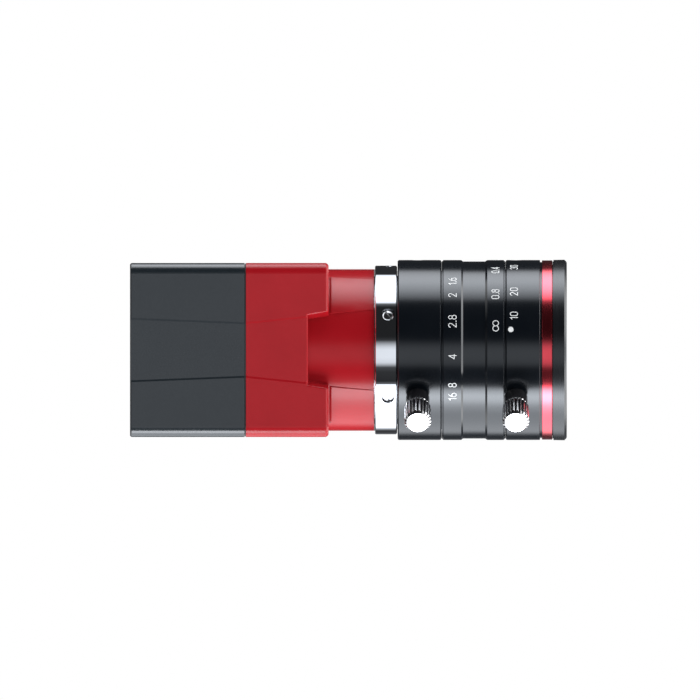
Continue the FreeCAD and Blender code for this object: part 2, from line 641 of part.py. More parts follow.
# --------------------------------------------------- sensor and its window
chip = cut("sensor_case", box("sensor_block", "board_c + 1.21", "23.6", "-7.2", "7.2", "-6.2", "6.2"),
           [box("sensor_well", "22.85", "24.0", "-5.7", "5.7", "-4.7", "4.7")])
place(chip, "image_sensor")
place(box("sensor_chip", "22.86", "23.17", "-4.6", "4.6", "-3.6", "3.6"), "sensor_die")
place(box("sensor_window", "23.61", "24.16", "-6.6", "6.6", "-5.6", "5.6"), "sensor_cover_glass")
place(turned("filter_ring", [("seat_x + 0.05", 8.6), ("seat_x + 0.05", "seat_r - 0.04"), ("seat_x + 2.2", "seat_r - 0.04"),
                             ("seat_x + 2.2", 9.9), ("seat_x + 0.8", 9.9), ("seat_x + 0.8", 8.6)]), "filter_holder")
place(rod("filter_disc", "seat_x + 0.82", "seat_x + 1.82", 9.86), "infrared_filter")

# ---------------------------------------------------------------- lens mount
GRUB = [-85.0 + 60.0 * k for k in range(6)]
mount = turned("mount_ring", [
    ("36.7", 11.7), ("36.7", "thread_r - 0.3"), ("36.95", "thread_r - 0.06"), ("flange - 0.7", "thread_r - 0.06"),
    ("flange - 0.5", 12.3), ("flange + ring_gap", 12.3), ("flange + ring_gap", "mount_r - 0.14"),
    ("flange + ring_gap + 0.14", "mount_r"), ("mount_end - 0.2", "mount_r"), ("mount_end", "mount_r - 0.2"),
    ("mount_end", "mount_bore"), ("41.62", "mount_bore"), ("41.62", 11.7)])
place(cut("mount_ring_cut", mount, [radial("mount_tap_%d" % i, "grub_x", "11.0", "16.0", "tap_r + 0.02", a)
                                    for i, a in enumerate(GRUB)]), "lens_mount_ring")
grubs = []
for i, a in enumerate(GRUB):
    body = radial("grub_%d" % i, "grub_x", "12.37", "13.78", "tap_r - 0.02", a)
    slot = doc.addObject("Part::Box", "grub_slot_%d" % i)
    slot.Length, slot.Width, slot.Height = 3.0, 0.34, 2.0
    n = outward(a)
    spin = FreeCAD.Rotation(V(0, 0, 1), n)
    twist = FreeCAD.Rotation(V(0, 0, 1), 38.0 + 17.0 * i)
    slot.Placement = FreeCAD.Placement(V(D["grub_x"], 0, 0) + n * 13.3, spin * twist) * FreeCAD.Placement(V(-1.5, -0.17, 0), FreeCAD.Rotation())
    grubs.append(cut("grub_cut_%d" % i, body, [slot]))
place(group("grub_set", grubs), "mount_grub_screws")

# -------------------------------------------------------------- fixed barrel
PIN_ANGLE, KEY_ANGLE = -150.0, 110.0
IRIS_OPEN, IRIS_CLOSED = -32.6, 50.0


def sector(name, x0, x1, r, centre, low, high):
    """A pie of the given stations and radius between two ring angles."""
    # a cylinder's sweep starts at its own X axis, which this turn puts at -Z
    start = centre + low - 90.0
    return rod(name, x0, x1, r, 0.0, 0.0, high - low, start)


barrel = turned("barrel_turned", [
    ("41.7", "bore_r"), ("41.7", 12.2), ("41.85", 12.35), ("42.4", 12.35), ("42.4", 12.1), ("43.6", 12.1), ("43.6", 12.35),
    ("mount_end + 0.05", 12.35), ("mount_end + 0.05", "sleeve_r"),
    ("centre_start - 0.12", "sleeve_r"), ("centre_start - 0.12", "barrel_r - 0.2"), ("centre_start", "barrel_r - 0.2"),
    ("centre_start", "barrel_r - 0.15"), ("centre_start + 0.15", "barrel_r"), ("55.2", "barrel_r"), ("55.5", "band_low_r"),
    ("59.2", "band_low_r"), ("59.55", "barrel_r"), ("centre_end - 0.15", "barrel_r"), ("centre_end", "barrel_r - 0.15"),
    ("centre_end", "barrel_r - 0.2"), ("centre_end + 0.12", "barrel_r - 0.2"), ("centre_end + 0.12", "neck_r"), ("neck_end - 0.2", "neck_r"), ("neck_end", "neck_r - 0.2"), ("neck_end", "bore_r")])
doc.recompute()
barrel_cuts = [
    sector("barrel_window", "pin_x - pin_r - 0.1", "pin_x + pin_r + 0.1", "sleeve_r + 0.1", PIN_ANGLE, IRIS_OPEN - 4.0, IRIS_CLOSED + 4.0),
    radial("barrel_key", "key_x", "10.0", "16.0", "key_r + 0.01", KEY_ANGLE),
]
place(cut("barrel_cut", barrel, barrel_cuts), "centre_barrel")
place(cut("key_cut", radial("key_rod", "key_x", "10.75", "barrel_r - 0.12", "key_r", KEY_ANGLE),
          [box("key_slot", "key_x - 1.0", "key_x + 1.0", "4.6", "5.0", "-16.0", "-13.55")]), "focus_guide_key")

# ------------------------------------------------------------------ iris ring
iris = turned("iris_turned", [
    ("iris_start", "iris_bore"), ("iris_start", "barrel_r - 0.2"), ("iris_start + 0.2", "barrel_r"),
    ("iris_end - 0.2", "barrel_r"), ("iris_end", "barrel_r - 0.2"), ("iris_end", "iris_bore")])
iris_cuts = [radial("iris_tap_%d" % i, "iris_screw_x", "12.0", "16.0", "tap_r", a) for i, a in enumerate((30.0, -90.0, 150.0))]
iris_cuts.append(radial("iris_pin_hole", "pin_x", "12.0", "16.0", "pin_r + 0.01", PIN_ANGLE))
place(cut("iris_cut", iris, iris_cuts), "iris_ring")
place(radial("drive_pin", "pin_x", "9.95", "barrel_r - 0.1", "pin_r", PIN_ANGLE), "iris_drive_pin")

# ---------------------------------------------------------------- focus ring
focus = turned("focus_turned", [
    ("focus_start", "focus_bore"), ("focus_start", "barrel_r - 0.2"), ("focus_start + 0.2", "barrel_r"),
    ("focus_end - 0.05", "barrel_r"), ("focus_end + 0.05", "barrel_r - 0.1"), ("focus_end + 0.05", "barrel_r - 0.35"),
    ("accent_start", "barrel_r - 0.35"), ("accent_start", 14.25), ("front_end - 0.32", 14.25),
    ("front_end - 0.32", "filter_r + 0.2"), ("front_end - 0.52", "filter_r"), ("70.95", "filter_r"), ("70.95", 13.05),
    ("69.42", 13.05), ("69.42", 11.52), ("neck_end + 0.2", 11.52), ("neck_end + 0.2", "focus_bore")])
place(cut("focus_cut", focus, [radial("focus_tap_%d" % i, "focus_screw_x", "12.0", "16.0", "tap_r", a)
                               for i, a in enumerate((30.0, -90.0, 150.0))]), "focus_ring")
place(turned("accent_turned", [
    ("accent_start", 14.27), ("accent_start", "barrel_r - 0.12"), ("accent_start + 0.08", "barrel_r - 0.05"),
    ("accent_end - 0.08", "barrel_r - 0.05"), ("accent_end", "barrel_r - 0.12"), ("accent_end", 14.27)]), "accent_ring")
place(turned("bezel_turned", [
    ("accent_end + 0.02", 14.27), ("accent_end + 0.02", "barrel_r - 0.25"), ("accent_end + 0.17", "barrel_r - 0.25"),
    ("accent_end + 0.17", "barrel_r + 0.02"), ("front_end - 0.4", "barrel_r + 0.05"), ("front_end - 0.1", "barrel_r - 0.25"),
    ("front_end", "barrel_r - 0.45"), ("front_end", 13.7), ("front_end - 0.3", 13.5), ("front_end - 0.3", 14.27)]), "front_bezel")
place(turned("retainer_turned", [("70.1", 11.56), ("70.1", 13.02), ("70.66", 13.02), ("70.66", 11.7), ("70.52", 11.56)]), "cell_retaining_ring")

# ------------------------------------------------------------- lock screws


def lock_screw(name, station, tip, label):
    """Knurled thumb screw, drawn along +X as distance from the optical axis."""
    body = turned(name, [
        (tip, 0.001), (tip, "shank_r - 0.15"), (tip + " + 0.2", "shank_r"), ("barrel_r + 0.15", "shank_r"),
        ("barrel_r + 0.15", "lock_neck_r"), ("head_base", "lock_neck_r"), ("head_base", "collar_r - 0.12"),
        ("head_base + 0.12", "collar_r"), ("knurl_base", "collar_r"), ("knurl_base + 0.24", "head_r"),
        ("head_end - 0.36", "head_r"), ("head_end", "head_r - 0.4"), ("head_end", 0.001)])
    doc.recompute()
    base = body.Tip
    tooth = outline(body, name + "_tooth", [(1.93, 0.001), (2.6, -0.52), (2.6, 0.52)], "YZ_Plane")
    tooth.AttachmentOffset = FreeCAD.Placement(V(0, 0, D["head_end"] + 1.0), FreeCAD.Rotation())
    tooth.setExpression("AttachmentOffset.Base.z", "Dims.head_end + 1.0")
    before = base.Shape.Volume
    groove = body.newObject("PartDesign::Pocket", name + "_knurl")
    groove.Profile = tooth
    groove.Type = "Length"
    groove.setExpression("Length", "Dims.head_end - Dims.knurl_base + 1.0")
    doc.recompute()
    if before - groove.Shape.Volume < 0.01:
        groove.Reversed = True
        doc.recompute()
    if before - groove.Shape.Volume < 0.01:
        raise RuntimeError("the knurl cuts nothing")
    axis = [f for f in body.Origin.OriginFeatures if f.Role == "X_Axis"][0]
    pat = body.newObject("PartDesign::PolarPattern", name + "_teeth")
    pat.Originals = [groove]
    pat.Axis = (axis, [""])
    pat.Angle = 360.0
    pat.Occurrences = 22
    body.Tip = pat
    doc.recompute()
    return radial_place(body, station, label)


def radial_place(obj, station, label):
    obj.Label = label
    obj.Placement = FreeCAD.Placement(V(0, 0, 0), FreeCAD.Rotation(V(1, 0, 0), outward(D["lock_angle"])))
    obj.setExpression("Placement.Base.x", "%s - Dims.x_origin" % expr(station))
    obj.setExpression("Placement.Base.z", "Dims.half")
    NODES.append(obj)
    return obj


lock_screw("iris_lock", "iris_screw_x", "13.67", "iris_lock_screw")
lock_screw("focus_lock", "focus_screw_x", "13.9", "focus_lock_screw")
place(radial("iris_pad", "iris_screw_x", "13.24", "13.66", "pad_r", D["lock_angle"]), "iris_lock_pad")
place(radial("focus_pad", "focus_screw_x", "13.48", "13.89", "pad_r", D["lock_angle"]), "focus_lock_pad")

# ------------------------------------------------------------- lens cell
cell = turned("cell_turned", [
    ("cell_rear", "cell_bore"), ("cell_rear", "cell_r - 0.2"), ("cell_rear + 0.2", "cell_r"), ("69.47", "cell_r"),
    ("69.47", 12.95), ("70.05", 12.95), ("70.05", "cell_r"), ("cell_front - 0.15", "cell_r"), ("cell_front", "cell_r - 0.15"),
    ("cell_front", 10.6), ("68.56", 10.6), ("68.56", 9.95), ("66.32", 9.95), ("66.32", 8.45), ("58.36", 8.45),
    ("58.36", 7.2), ("iris_shoulder", 7.2), ("iris_shoulder", "cell_bore")])
cell_cuts = [
    sector("cell_window", "pin_x - travel - pin_r - 0.1", "pin_x + pin_r + 0.1", "cell_r + 0.1", PIN_ANGLE, IRIS_OPEN - 4.0, IRIS_CLOSED + 4.0),
    radial("cell_slot_a", "key_x", "10.65", "12.0", "key_r + 0.03", KEY_ANGLE),
    radial("cell_slot_b", "key_x - travel", "10.65", "12.0", "key_r + 0.03", KEY_ANGLE),
]
kn = outward(KEY_ANGLE)
keyway = doc.addObject("Part::Box", "cell_keyway")
keyway.Placement = FreeCAD.Placement(V(0, 0, 0), FreeCAD.Rotation(V(1, 0, 0), V(0, 1, 0), kn, "XZY"))
side = keyway.Placement.Rotation.multVec(V(0, 1, 0))
corner = kn * 10.65 - side * (D["key_r"] + 0.03)
bind(keyway, Length="travel", Placement__Base__x="key_x - travel")
keyway.setExpression("Width", "2 * (Dims.key_r + 0.03)")
keyway.setExpression("Placement.Base.y", "%.9f" % corner.y)
keyway.setExpression("Placement.Base.z", "%.9f" % corner.z)
keyway.Height = 1.35
cell_cuts.append(keyway)
place(cut("cell_cut", cell, cell_cuts), "lens_cell")
place(turned("front_ret", [("68.62", 9.92), ("68.62", 10.56), ("70.7", 10.56), ("70.7", 10.0), ("68.98", 9.42)]), "front_lens_retainer")
place(turned("front_space", [("63.86", 7.86), ("63.86", 8.42), ("66.31", 8.42), ("66.31", 8.1)]), "front_lens_spacer")
place(turned("rear_cell_turned", [
    ("42.3", 8.25), ("42.3", "cell_bore - 0.04"), ("44.6", "cell_bore - 0.04"), ("44.6", 9.55), ("52.0", 9.55), ("52.0", 7.45),
    ("47.5", 7.45), ("47.5", 6.9), ("44.6", 6.9), ("44.16", 7.6), ("44.16", 8.25)]), "rear_lens_cell")
place(turned("rear_ret", [("42.32", 7.72), ("42.32", 8.22), ("43.1", 8.22), ("43.1", 7.72)]), "rear_lens_retainer")
place(turned("rear_ret_b", [("51.63", 5.9), ("51.63", 7.42), ("52.0", 7.42), ("52.0", 5.9)]), "rear_doublet_retainer")


def lens(label, edge_rear, edge_front, semi, front, rear):
    """A glass element. front and rear are (vertex station, radius, shape)."""
    solid = rod(label + "_blank", edge_rear, edge_front, semi)
    meets, takes = [solid], []
    for tag, (vertex, radius, shape), sign in (("front", front, -1), ("rear", rear, 1)):
        ball = doc.addObject("Part::Sphere", "%s_%s" % (label, tag))
        ball.Radius = radius
        away = sign if shape == "convex" else -sign
        bind(ball, Placement__Base__x="%s %s %s" % (vertex, "+" if away > 0 else "-", radius))
        (meets if shape == "convex" else takes).append(ball)
    out = solid
    if len(meets) > 1:
        out = doc.addObject("Part::MultiCommon", label + "_meet")
        out.Shapes = meets
    if takes:
        out = cut(label + "_cut", out, takes)
    return place(out, label)


lens("front_lens", "66.37", "70.9", 9.9, ("70.8", 22.0, "convex"), ("67.6", 40.0, "concave"))
lens("front_doublet_a", "61.0", "65.8", 8.4, ("65.6", 18.0, "convex"), ("61.2", 25.0, "convex"))
lens("front_doublet_b", "58.4", "62.64", 8.4, ("61.19", 25.0, "concave"), ("60.0", 14.0, "concave"))
lens("rear_doublet_a", "48.68", "51.6", 7.4, ("50.6", 14.0, "concave"), ("49.6", 30.0, "concave"))
lens("rear_doublet_b", "45.0", "50.0", 7.4, ("49.59", 30.0, "convex"), ("45.9", 15.0, "convex"))
lens("rear_lens", "42.0", "46.0", 8.2, ("45.3", 24.0, "convex"), ("42.7", 60.0, "convex"))

# -------------------------------------------------------------------- iris
# Six thin blades, each a ramp, so that they interleave. A blade turns in the
# base plate by its front stud, and its rear stud runs in a slot of the cam.
RATIO = 0.31
SPAN, RISE = 126.0, 0.004
DRIVE_S = 118.0
P0 = V(0, D["pivot_r"], 0)


def turn_about(point, centre, degrees):
    return centre + FreeCAD.Rotation(V(1, 0, 0), degrees).multVec(point - centre)


def polar(r, degrees):
    a = math.radians(degrees)
    return V(0, r * math.cos(a), r * math.sin(a))


def stud_at(ring_degrees):
    """Drive stud of the first blade when the ring has turned from fully open."""
    return turn_about(polar(D["drive_r"], DRIVE_S), P0, RATIO * ring_degrees)


base = rod("iris_base_disc", "iris_base_x", "iris_shoulder - 0.01", "cell_bore - 0.03")
base_cuts = [rod("iris_base_hole", "iris_base_x - 1.0", "iris_shoulder + 1.0", 6.3)]
for k in range(6):
    p = polar(D["pivot_r"], 60 * k)
    base_cuts.append(rod("iris_pivot_%d" % k, "iris_base_x - 1.0", "iris_base_x + 0.6", "stud_r + 0.04", p.y, p.z))
place(cut("iris_base_cut", base, base_cuts), "iris_base_plate")

cam = turned("cam_turned", [
    ("cam_rear", 9.7), ("cam_rear", "cell_bore - 0.05"), ("cam_front", "cell_bore - 0.05"), ("cam_front", 6.0),
    ("cam_front - cam_thick", 6.0), ("cam_front - cam_thick", 9.7)])
doc.recompute()
path = []
for i in range(13):
    ring = (IRIS_CLOSED - IRIS_OPEN) * i / 12.0
    # position in the cam's own frame, with the cam shown at its rest angle
    path.append(turn_about(stud_at(ring), V(0, 0, 0), -ring - IRIS_OPEN))
slots = []
for k in range(6):
    rods = []
    for q in path:
        c = Part.makeCylinder(D["stud_r"] + 0.06, 3.0, V(D["cam_front"] - 2.0, q.y, q.z), V(1, 0, 0))
        c.rotate(V(0, 0, 0), V(1, 0, 0), 60 * k)
        rods.append(c)
    cutter = doc.addObject("Part::Feature", "cam_slot_%d" % k)
    cutter.Shape = rods[0].fuse(rods[1:]).removeSplitter()
    slots.append(cutter)
fork = doc.addObject("Part::Box", "cam_fork")
pn = outward(PIN_ANGLE)
fork.Placement = FreeCAD.Placement(V(0, 0, 0), FreeCAD.Rotation(V(1, 0, 0), V(0, 1, 0), pn, "XZY"))
fside = fork.Placement.Rotation.multVec(V(0, 1, 0))
fcorner = pn * 9.0 - fside * (D["pin_r"] + 0.04)
bind(fork, Placement__Base__x="cam_rear - 1.0", Length="pin_x - cam_rear + pin_r + 1.1")
fork.setExpression("Width", "2 * (Dims.pin_r + 0.04)")
fork.setExpression("Placement.Base.y", "%.9f" % fcorner.y)
fork.setExpression("Placement.Base.z", "%.9f" % fcorner.z)
fork.Height = 3.0
place(cut("cam_cut", cam, slots + [fork]), "iris_cam_ring")

rest = -RATIO * IRIS_OPEN
for k in range(6):
    lower, upper = -2.0, SPAN
    # helicoid strip between the inner and outer edge of the blade
    rows = []
    for r in (D["blade_in"], D["blade_out"]):
        pts = []
        for i in range(33):
            s = lower + (upper - lower) * i / 32.0
            q = polar(r, s)
            pts.append(V(D["blade_x"] - RISE * s, q.y, q.z))
        c = Part.BSplineCurve()
        c.interpolate(pts)
        rows.append(c.toShape())
    strip = Part.makeRuledSurface(rows[0], rows[1]).extrude(V(-D["blade_thick"], 0, 0))
    thick = D["blade_thick"] + 0.04
    tab = Part.makeCylinder(0.62, thick, V(D["blade_x"] + 0.02 - thick, D["pivot_r"], 0), V(1, 0, 0))
    arm = Part.makeBox(thick, D["pivot_r"] - 8.3, 0.9, V(D["blade_x"] + 0.02 - thick, 8.3, -0.45))
    pivot = Part.makeCylinder(D["stud_r"], 0.65, V(D["blade_x"] - 0.03, D["pivot_r"], 0), V(1, 0, 0))
    q = polar(D["drive_r"], DRIVE_S)
    depth = D["blade_x"] - RISE * DRIVE_S
    drive = Part.makeCylinder(D["stud_r"], depth - (D["cam_front"] - 0.7) + 0.0, V(D["cam_front"] - 0.7, q.y, q.z), V(1, 0, 0))
    solid = strip.fuse([tab, arm, pivot, drive])
    if not solid.isValid():
        print("blade", k, strip.isValid(), strip.fuse([tab]).isValid(), strip.fuse([arm]).isValid(), strip.fuse([drive]).isValid())
    solid.rotate(P0, V(1, 0, 0), rest)
    solid.rotate(V(0, 0, 0), V(1, 0, 0), 60 * k)
    blade = doc.addObject("Part::Feature", "blade_%d" % (k + 1))
    blade.Shape = solid
    place(blade, "iris_blade_%d" % (k + 1))

# ------------------------------------------------------------------- output
doc.recompute()
bad = [o.Name + " " + ",".join(o.State) for o in doc.Objects if "Invalid" in o.State or "Error" in o.State]
if bad:
    raise RuntimeError("failed objects: " + "; ".join(bad))
seen = set()
os.makedirs("parts", exist_ok=True)
for obj in NODES:
    shape = obj.Shape
    if shape.isNull() or not shape.isValid() or not shape.Solids:
        raise RuntimeError("bad shape: " + obj.Label)
    if obj.Label in seen:
        raise RuntimeError("two pieces share a name: " + obj.Label)
    seen.add(obj.Label)
for obj in NODES:
    obj.Shape.exportStep("parts/" + obj.Label + ".step")
    b = obj.Shape.optimalBoundingBox(False)
    print("%-24s %2d solid  %9.3f mm3   x %7.2f %7.2f  y %7.2f %7.2f  z %7.2f %7.2f" % (
        obj.Label, len(obj.Shape.Solids), obj.Shape.Volume, b.XMin, b.XMax, b.YMin, b.YMax, b.ZMin, b.ZMax))
print(len(NODES), "pieces")
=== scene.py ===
import json
import math

import bmesh
import bpy
import numpy as np
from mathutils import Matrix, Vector


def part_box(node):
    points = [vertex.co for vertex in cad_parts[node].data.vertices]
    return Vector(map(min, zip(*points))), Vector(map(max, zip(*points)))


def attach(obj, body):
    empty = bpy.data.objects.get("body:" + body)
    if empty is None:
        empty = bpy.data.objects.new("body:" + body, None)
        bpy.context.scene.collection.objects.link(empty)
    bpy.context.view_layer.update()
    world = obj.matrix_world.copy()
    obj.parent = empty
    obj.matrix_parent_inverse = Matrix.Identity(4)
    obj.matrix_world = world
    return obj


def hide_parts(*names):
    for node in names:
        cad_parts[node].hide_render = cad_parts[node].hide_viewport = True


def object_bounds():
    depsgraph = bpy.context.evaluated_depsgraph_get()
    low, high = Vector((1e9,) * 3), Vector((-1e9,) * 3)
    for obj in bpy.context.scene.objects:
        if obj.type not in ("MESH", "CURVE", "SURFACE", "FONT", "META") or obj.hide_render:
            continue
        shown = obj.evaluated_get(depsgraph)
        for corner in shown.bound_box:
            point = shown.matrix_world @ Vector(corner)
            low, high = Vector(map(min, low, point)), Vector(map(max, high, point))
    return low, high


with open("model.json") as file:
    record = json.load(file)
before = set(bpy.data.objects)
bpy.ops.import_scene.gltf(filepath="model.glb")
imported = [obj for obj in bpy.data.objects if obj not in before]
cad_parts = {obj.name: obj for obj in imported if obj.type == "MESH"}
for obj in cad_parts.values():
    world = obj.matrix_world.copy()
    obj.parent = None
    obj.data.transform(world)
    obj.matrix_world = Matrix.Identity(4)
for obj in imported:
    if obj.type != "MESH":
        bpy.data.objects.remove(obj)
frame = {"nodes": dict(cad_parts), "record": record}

CAD_BOX = [[float(c) for c in corner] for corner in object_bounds()]
LO, HI = (Vector(c) for c in CAD_BOX)
NODES = frame["nodes"]
MM = 0.001
AXIS_Z = sum(v.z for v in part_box("centre_barrel")) / 2  # height of the optical axis


def lo_x(node):
    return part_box(node)[0].x


def hi_x(node):
    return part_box(node)[1].x


def radius(node):
    lo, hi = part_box(node)
    return (hi.y - lo.y) / 2


# ------------------------------------------------------------------ materials

class Graph:
    """A material's node tree, with short calls for the nodes used here."""

    def __init__(self, name):
        self.mat = bpy.data.materials.new(name)
        self.mat.use_nodes = True
        self.tree = self.mat.node_tree
        self.tree.nodes.clear()
        self.out = self.tree.nodes.new("ShaderNodeOutputMaterial")
        self.bsdf = self.tree.nodes.new("ShaderNodeBsdfPrincipled")
        self.tree.links.new(self.bsdf.outputs[0], self.out.inputs["Surface"])
        coord = self.tree.nodes.new("ShaderNodeTexCoord")
        to_mm = self.tree.nodes.new("ShaderNodeVectorMath")
        to_mm.operation = "SCALE"
        to_mm.inputs["Scale"].default_value = 1000.0
        self.tree.links.new(coord.outputs["Object"], to_mm.inputs[0])
        self.mm = to_mm.outputs[0]

    def node(self, kind, **values):
        n = self.tree.nodes.new(kind)
        for key, value in values.items():
            setattr(n, key, value)
        return n

    def link(self, a, b):
        self.tree.links.new(a, b)

    def set(self, **values):
        for key, value in values.items():
            self.bsdf.inputs[key.replace("_", " ")].default_value = value

    def put(self, node, key, value):
        """A number, colour or link into a node's socket."""
        if isinstance(value, bpy.types.NodeSocket):
            self.link(value, node.inputs[key])
        else:
            node.inputs[key].default_value = value

    def math(self, op, a, b=0.0, c=0.0, clamp=False):
        n = self.node("ShaderNodeMath", operation=op, use_clamp=clamp)
        for i, v in enumerate((a, b, c)):
            self.put(n, i, v)
        return n.outputs[0]

    def noise(self, scale, detail=2.0, rough=0.5, vector=None, distortion=0.0):
        n = self.node("ShaderNodeTexNoise")
        self.link(vector or self.mm, n.inputs["Vector"])
        n.inputs["Scale"].default_value = scale
        n.inputs["Detail"].default_value = detail
        n.inputs["Roughness"].default_value = rough
        n.inputs["Distortion"].default_value = distortion
        return n.outputs["Fac"]

    def stretched(self, factors):
        n = self.node("ShaderNodeVectorMath", operation="MULTIPLY")
        self.link(self.mm, n.inputs[0])
        n.inputs[1].default_value = factors
        return n.outputs[0]

    def cylindrical(self):
        """(station along X, radius, angle) round the optical axis, in mm and radians."""
        split = self.node("ShaderNodeSeparateXYZ")
        self.link(self.mm, split.inputs[0])
        z = self.math("SUBTRACT", split.outputs[2], AXIS_Z / MM)
        y = split.outputs[1]
        r = self.math("SQRT", self.math("ADD", self.math("MULTIPLY", y, y), self.math("MULTIPLY", z, z)))
        angle = self.math("ARCTAN2", z, y)
        return split.outputs[0], r, angle

    def combine(self, x, y, z):
        n = self.node("ShaderNodeCombineXYZ")
        for i, v in enumerate((x, y, z)):
            self.put(n, i, v)
        return n.outputs[0]

    def ramp(self, fac, stops, interpolation="LINEAR"):
        n = self.node("ShaderNodeValToRGB")
        n.color_ramp.interpolation = interpolation
        elements = n.color_ramp.elements
        while len(elements) > 1:
            elements.remove(elements[-1])
        elements[0].position = stops[0][0]
        elements[0].color = grey(stops[0][1])
        for position, value in stops[1:]:
            elements.new(position).color = grey(value)
        self.link(fac, n.inputs[0])
        return n.outputs[0]

    def span(self, fac, low, high, in_low=0.0, in_high=1.0):
        n = self.node("ShaderNodeMapRange")
        self.link(fac, n.inputs["Value"])
        n.inputs["From Min"].default_value = in_low
        n.inputs["From Max"].default_value = in_high
        n.inputs["To Min"].default_value = low
        n.inputs["To Max"].default_value = high
        return n.outputs[0]

    def mix(self, fac, a, b):
        n = self.node("ShaderNodeMix", data_type="RGBA")
        self.put(n, "Factor", fac)
        for key, v in ((6, a), (7, b)):
            if isinstance(v, bpy.types.NodeSocket):
                self.link(v, n.inputs[key])
            else:
                n.inputs[key].default_value = grey(v)
        return n.outputs[2]

    def colour(self, value):
        if isinstance(value, bpy.types.NodeSocket):
            self.link(value, self.bsdf.inputs["Base Color"])
        else:
            self.bsdf.inputs["Base Color"].default_value = grey(value)

    def bump(self, height, depth_mm, strength=1.0, under=None):
        n = self.node("ShaderNodeBump")
        n.inputs["Strength"].default_value = strength
        n.inputs["Distance"].default_value = depth_mm * MM
        self.link(height, n.inputs["Height"])
        if under is not None:
            self.link(under, n.inputs["Normal"])
        return n.outputs[0]

    def normal(self, socket):
        self.link(socket, self.bsdf.inputs["Normal"])


def grey(value):
    if isinstance(value, (int, float)):
        return (value, value, value, 1.0)
    return tuple(value) + (1.0,) if len(value) == 3 else tuple(value)


def coat_paint(name, low, high, rough=(0.34, 0.44), grain=7.0, depth=0.010, spec=0.5):
    """Fine spray coat on cast aluminium: small even grain and faint cloudiness."""
    g = Graph(name)
    cloud = g.noise(0.16, 3.0, 0.55)
    g.colour(g.mix(g.span(cloud, 0.0, 1.0, 0.3, 0.7), low, high))
    fine = g.noise(grain, 2.0, 0.6)
    g.link(g.span(fine, rough[0], rough[1], 0.3, 0.7), g.bsdf.inputs["Roughness"])
    wide = g.noise(grain * 0.35, 2.0, 0.5)
    g.normal(g.bump(fine, depth, 0.55, g.bump(wide, depth * 1.6, 0.35)))
    g.bsdf.inputs["Specular IOR Level"].default_value = spec
    return g.mat


def turned(name, low, high, rough, metallic=0.0, spec=0.5, line=9.0, depth=0.003, coat=0.0, coat_rough=0.1):
    """Lathe-turned metal: fine rings round the optical axis, slightly uneven."""
    g = Graph(name)
    x, r, angle = g.cylindrical()
    along = g.combine(g.math("MULTIPLY", x, line), g.math("MULTIPLY", r, line), g.math("MULTIPLY", angle, 0.35))
    rings = g.noise(1.0, 3.0, 0.65, along)
    cloud = g.noise(0.2, 2.0)
    g.colour(g.mix(g.span(cloud, 0.0, 1.0, 0.3, 0.7), low, high))
    g.link(g.span(rings, rough[0], rough[1], 0.25, 0.75), g.bsdf.inputs["Roughness"])
    g.normal(g.bump(rings, depth, 0.5))
    g.bsdf.inputs["Metallic"].default_value = metallic
    g.bsdf.inputs["Specular IOR Level"].default_value = spec
    g.bsdf.inputs["Coat Weight"].default_value = coat
    g.bsdf.inputs["Coat Roughness"].default_value = coat_rough
    return g.mat


def moulded(name, low, high, rough=(0.4, 0.55), grain=5.0, depth=0.006):
    """Moulded plastic: a faint spark-eroded grain."""
    g = Graph(name)
    fine = g.noise(grain, 3.0, 0.6)
    g.colour(g.mix(g.noise(0.5, 2.0), low, high))
    g.link(g.span(fine, rough[0], rough[1], 0.3, 0.7), g.bsdf.inputs["Roughness"])
    g.normal(g.bump(fine, depth, 0.5))
    return g.mat


def rolled(name, low, high, rough=(0.18, 0.3), along=(0.4, 9.0, 9.0), metallic=1.0):
    """Rolled or drawn metal: long fine streaks along X."""
    g = Graph(name)
    streak = g.noise(1.0, 3.0, 0.6, g.stretched(along))
    g.colour(g.mix(streak, low, high))
    g.link(g.span(streak, rough[0], rough[1], 0.3, 0.7), g.bsdf.inputs["Roughness"])
    g.normal(g.bump(streak, 0.003, 0.4))
    g.bsdf.inputs["Metallic"].default_value = metallic
    return g.mat


def optical(name, tint, film, ior=1.6):
    """Coated glass: a thin film gives the coloured sheen, and a few specks of dust its scale."""
    g = Graph(name)
    g.bsdf.inputs["Base Color"].default_value = grey(tint)
    g.bsdf.inputs["Transmission Weight"].default_value = 1.0
    g.bsdf.inputs["IOR"].default_value = ior
    g.bsdf.inputs["Thin Film Thickness"].default_value = film
    g.bsdf.inputs["Thin Film IOR"].default_value = 1.38
    speck = g.noise(3.0, 2.0, 0.5)
    g.link(g.span(speck, 0.0, 0.02, 0.6, 0.8), g.bsdf.inputs["Roughness"])
    return g.mat


GREY = coat_paint("anodised_grey", (0.0078, 0.0114, 0.0146), (0.0092, 0.0130, 0.0162), (0.22, 0.28), 8.0, 0.004, 0.62)
RED = coat_paint("anodised_red", (0.262, 0.0044, 0.0080), (0.286, 0.0052, 0.0094), (0.20, 0.27), 8.0, 0.007, 0.26)
BARREL = turned("barrel_black", (0.0024, 0.0036, 0.0054), (0.0034, 0.0046, 0.0066), (0.15, 0.19), spec=0.54)
BEZEL = turned("bezel_black", (0.0024, 0.0030, 0.0040), (0.0034, 0.0040, 0.0052), (0.24, 0.30), spec=0.56)
INNER = turned("barrel_inner", (0.008, 0.008, 0.009), (0.012, 0.012, 0.013), (0.5, 0.62), spec=0.4)
CHROME = turned("lens_chrome", (0.73, 0.75, 0.78), (0.77, 0.79, 0.82), (0.02, 0.04), metallic=1.0, depth=0.0007)
ACCENT = turned("accent_red", (0.66, 0.062, 0.082), (0.70, 0.070, 0.092), (0.16, 0.21), metallic=1.0, coat=0.2, coat_rough=0.12)
PRINT = moulded("white_print", (0.66, 0.67, 0.67), (0.74, 0.75, 0.75), (0.45, 0.55), 9.0, 0.002)
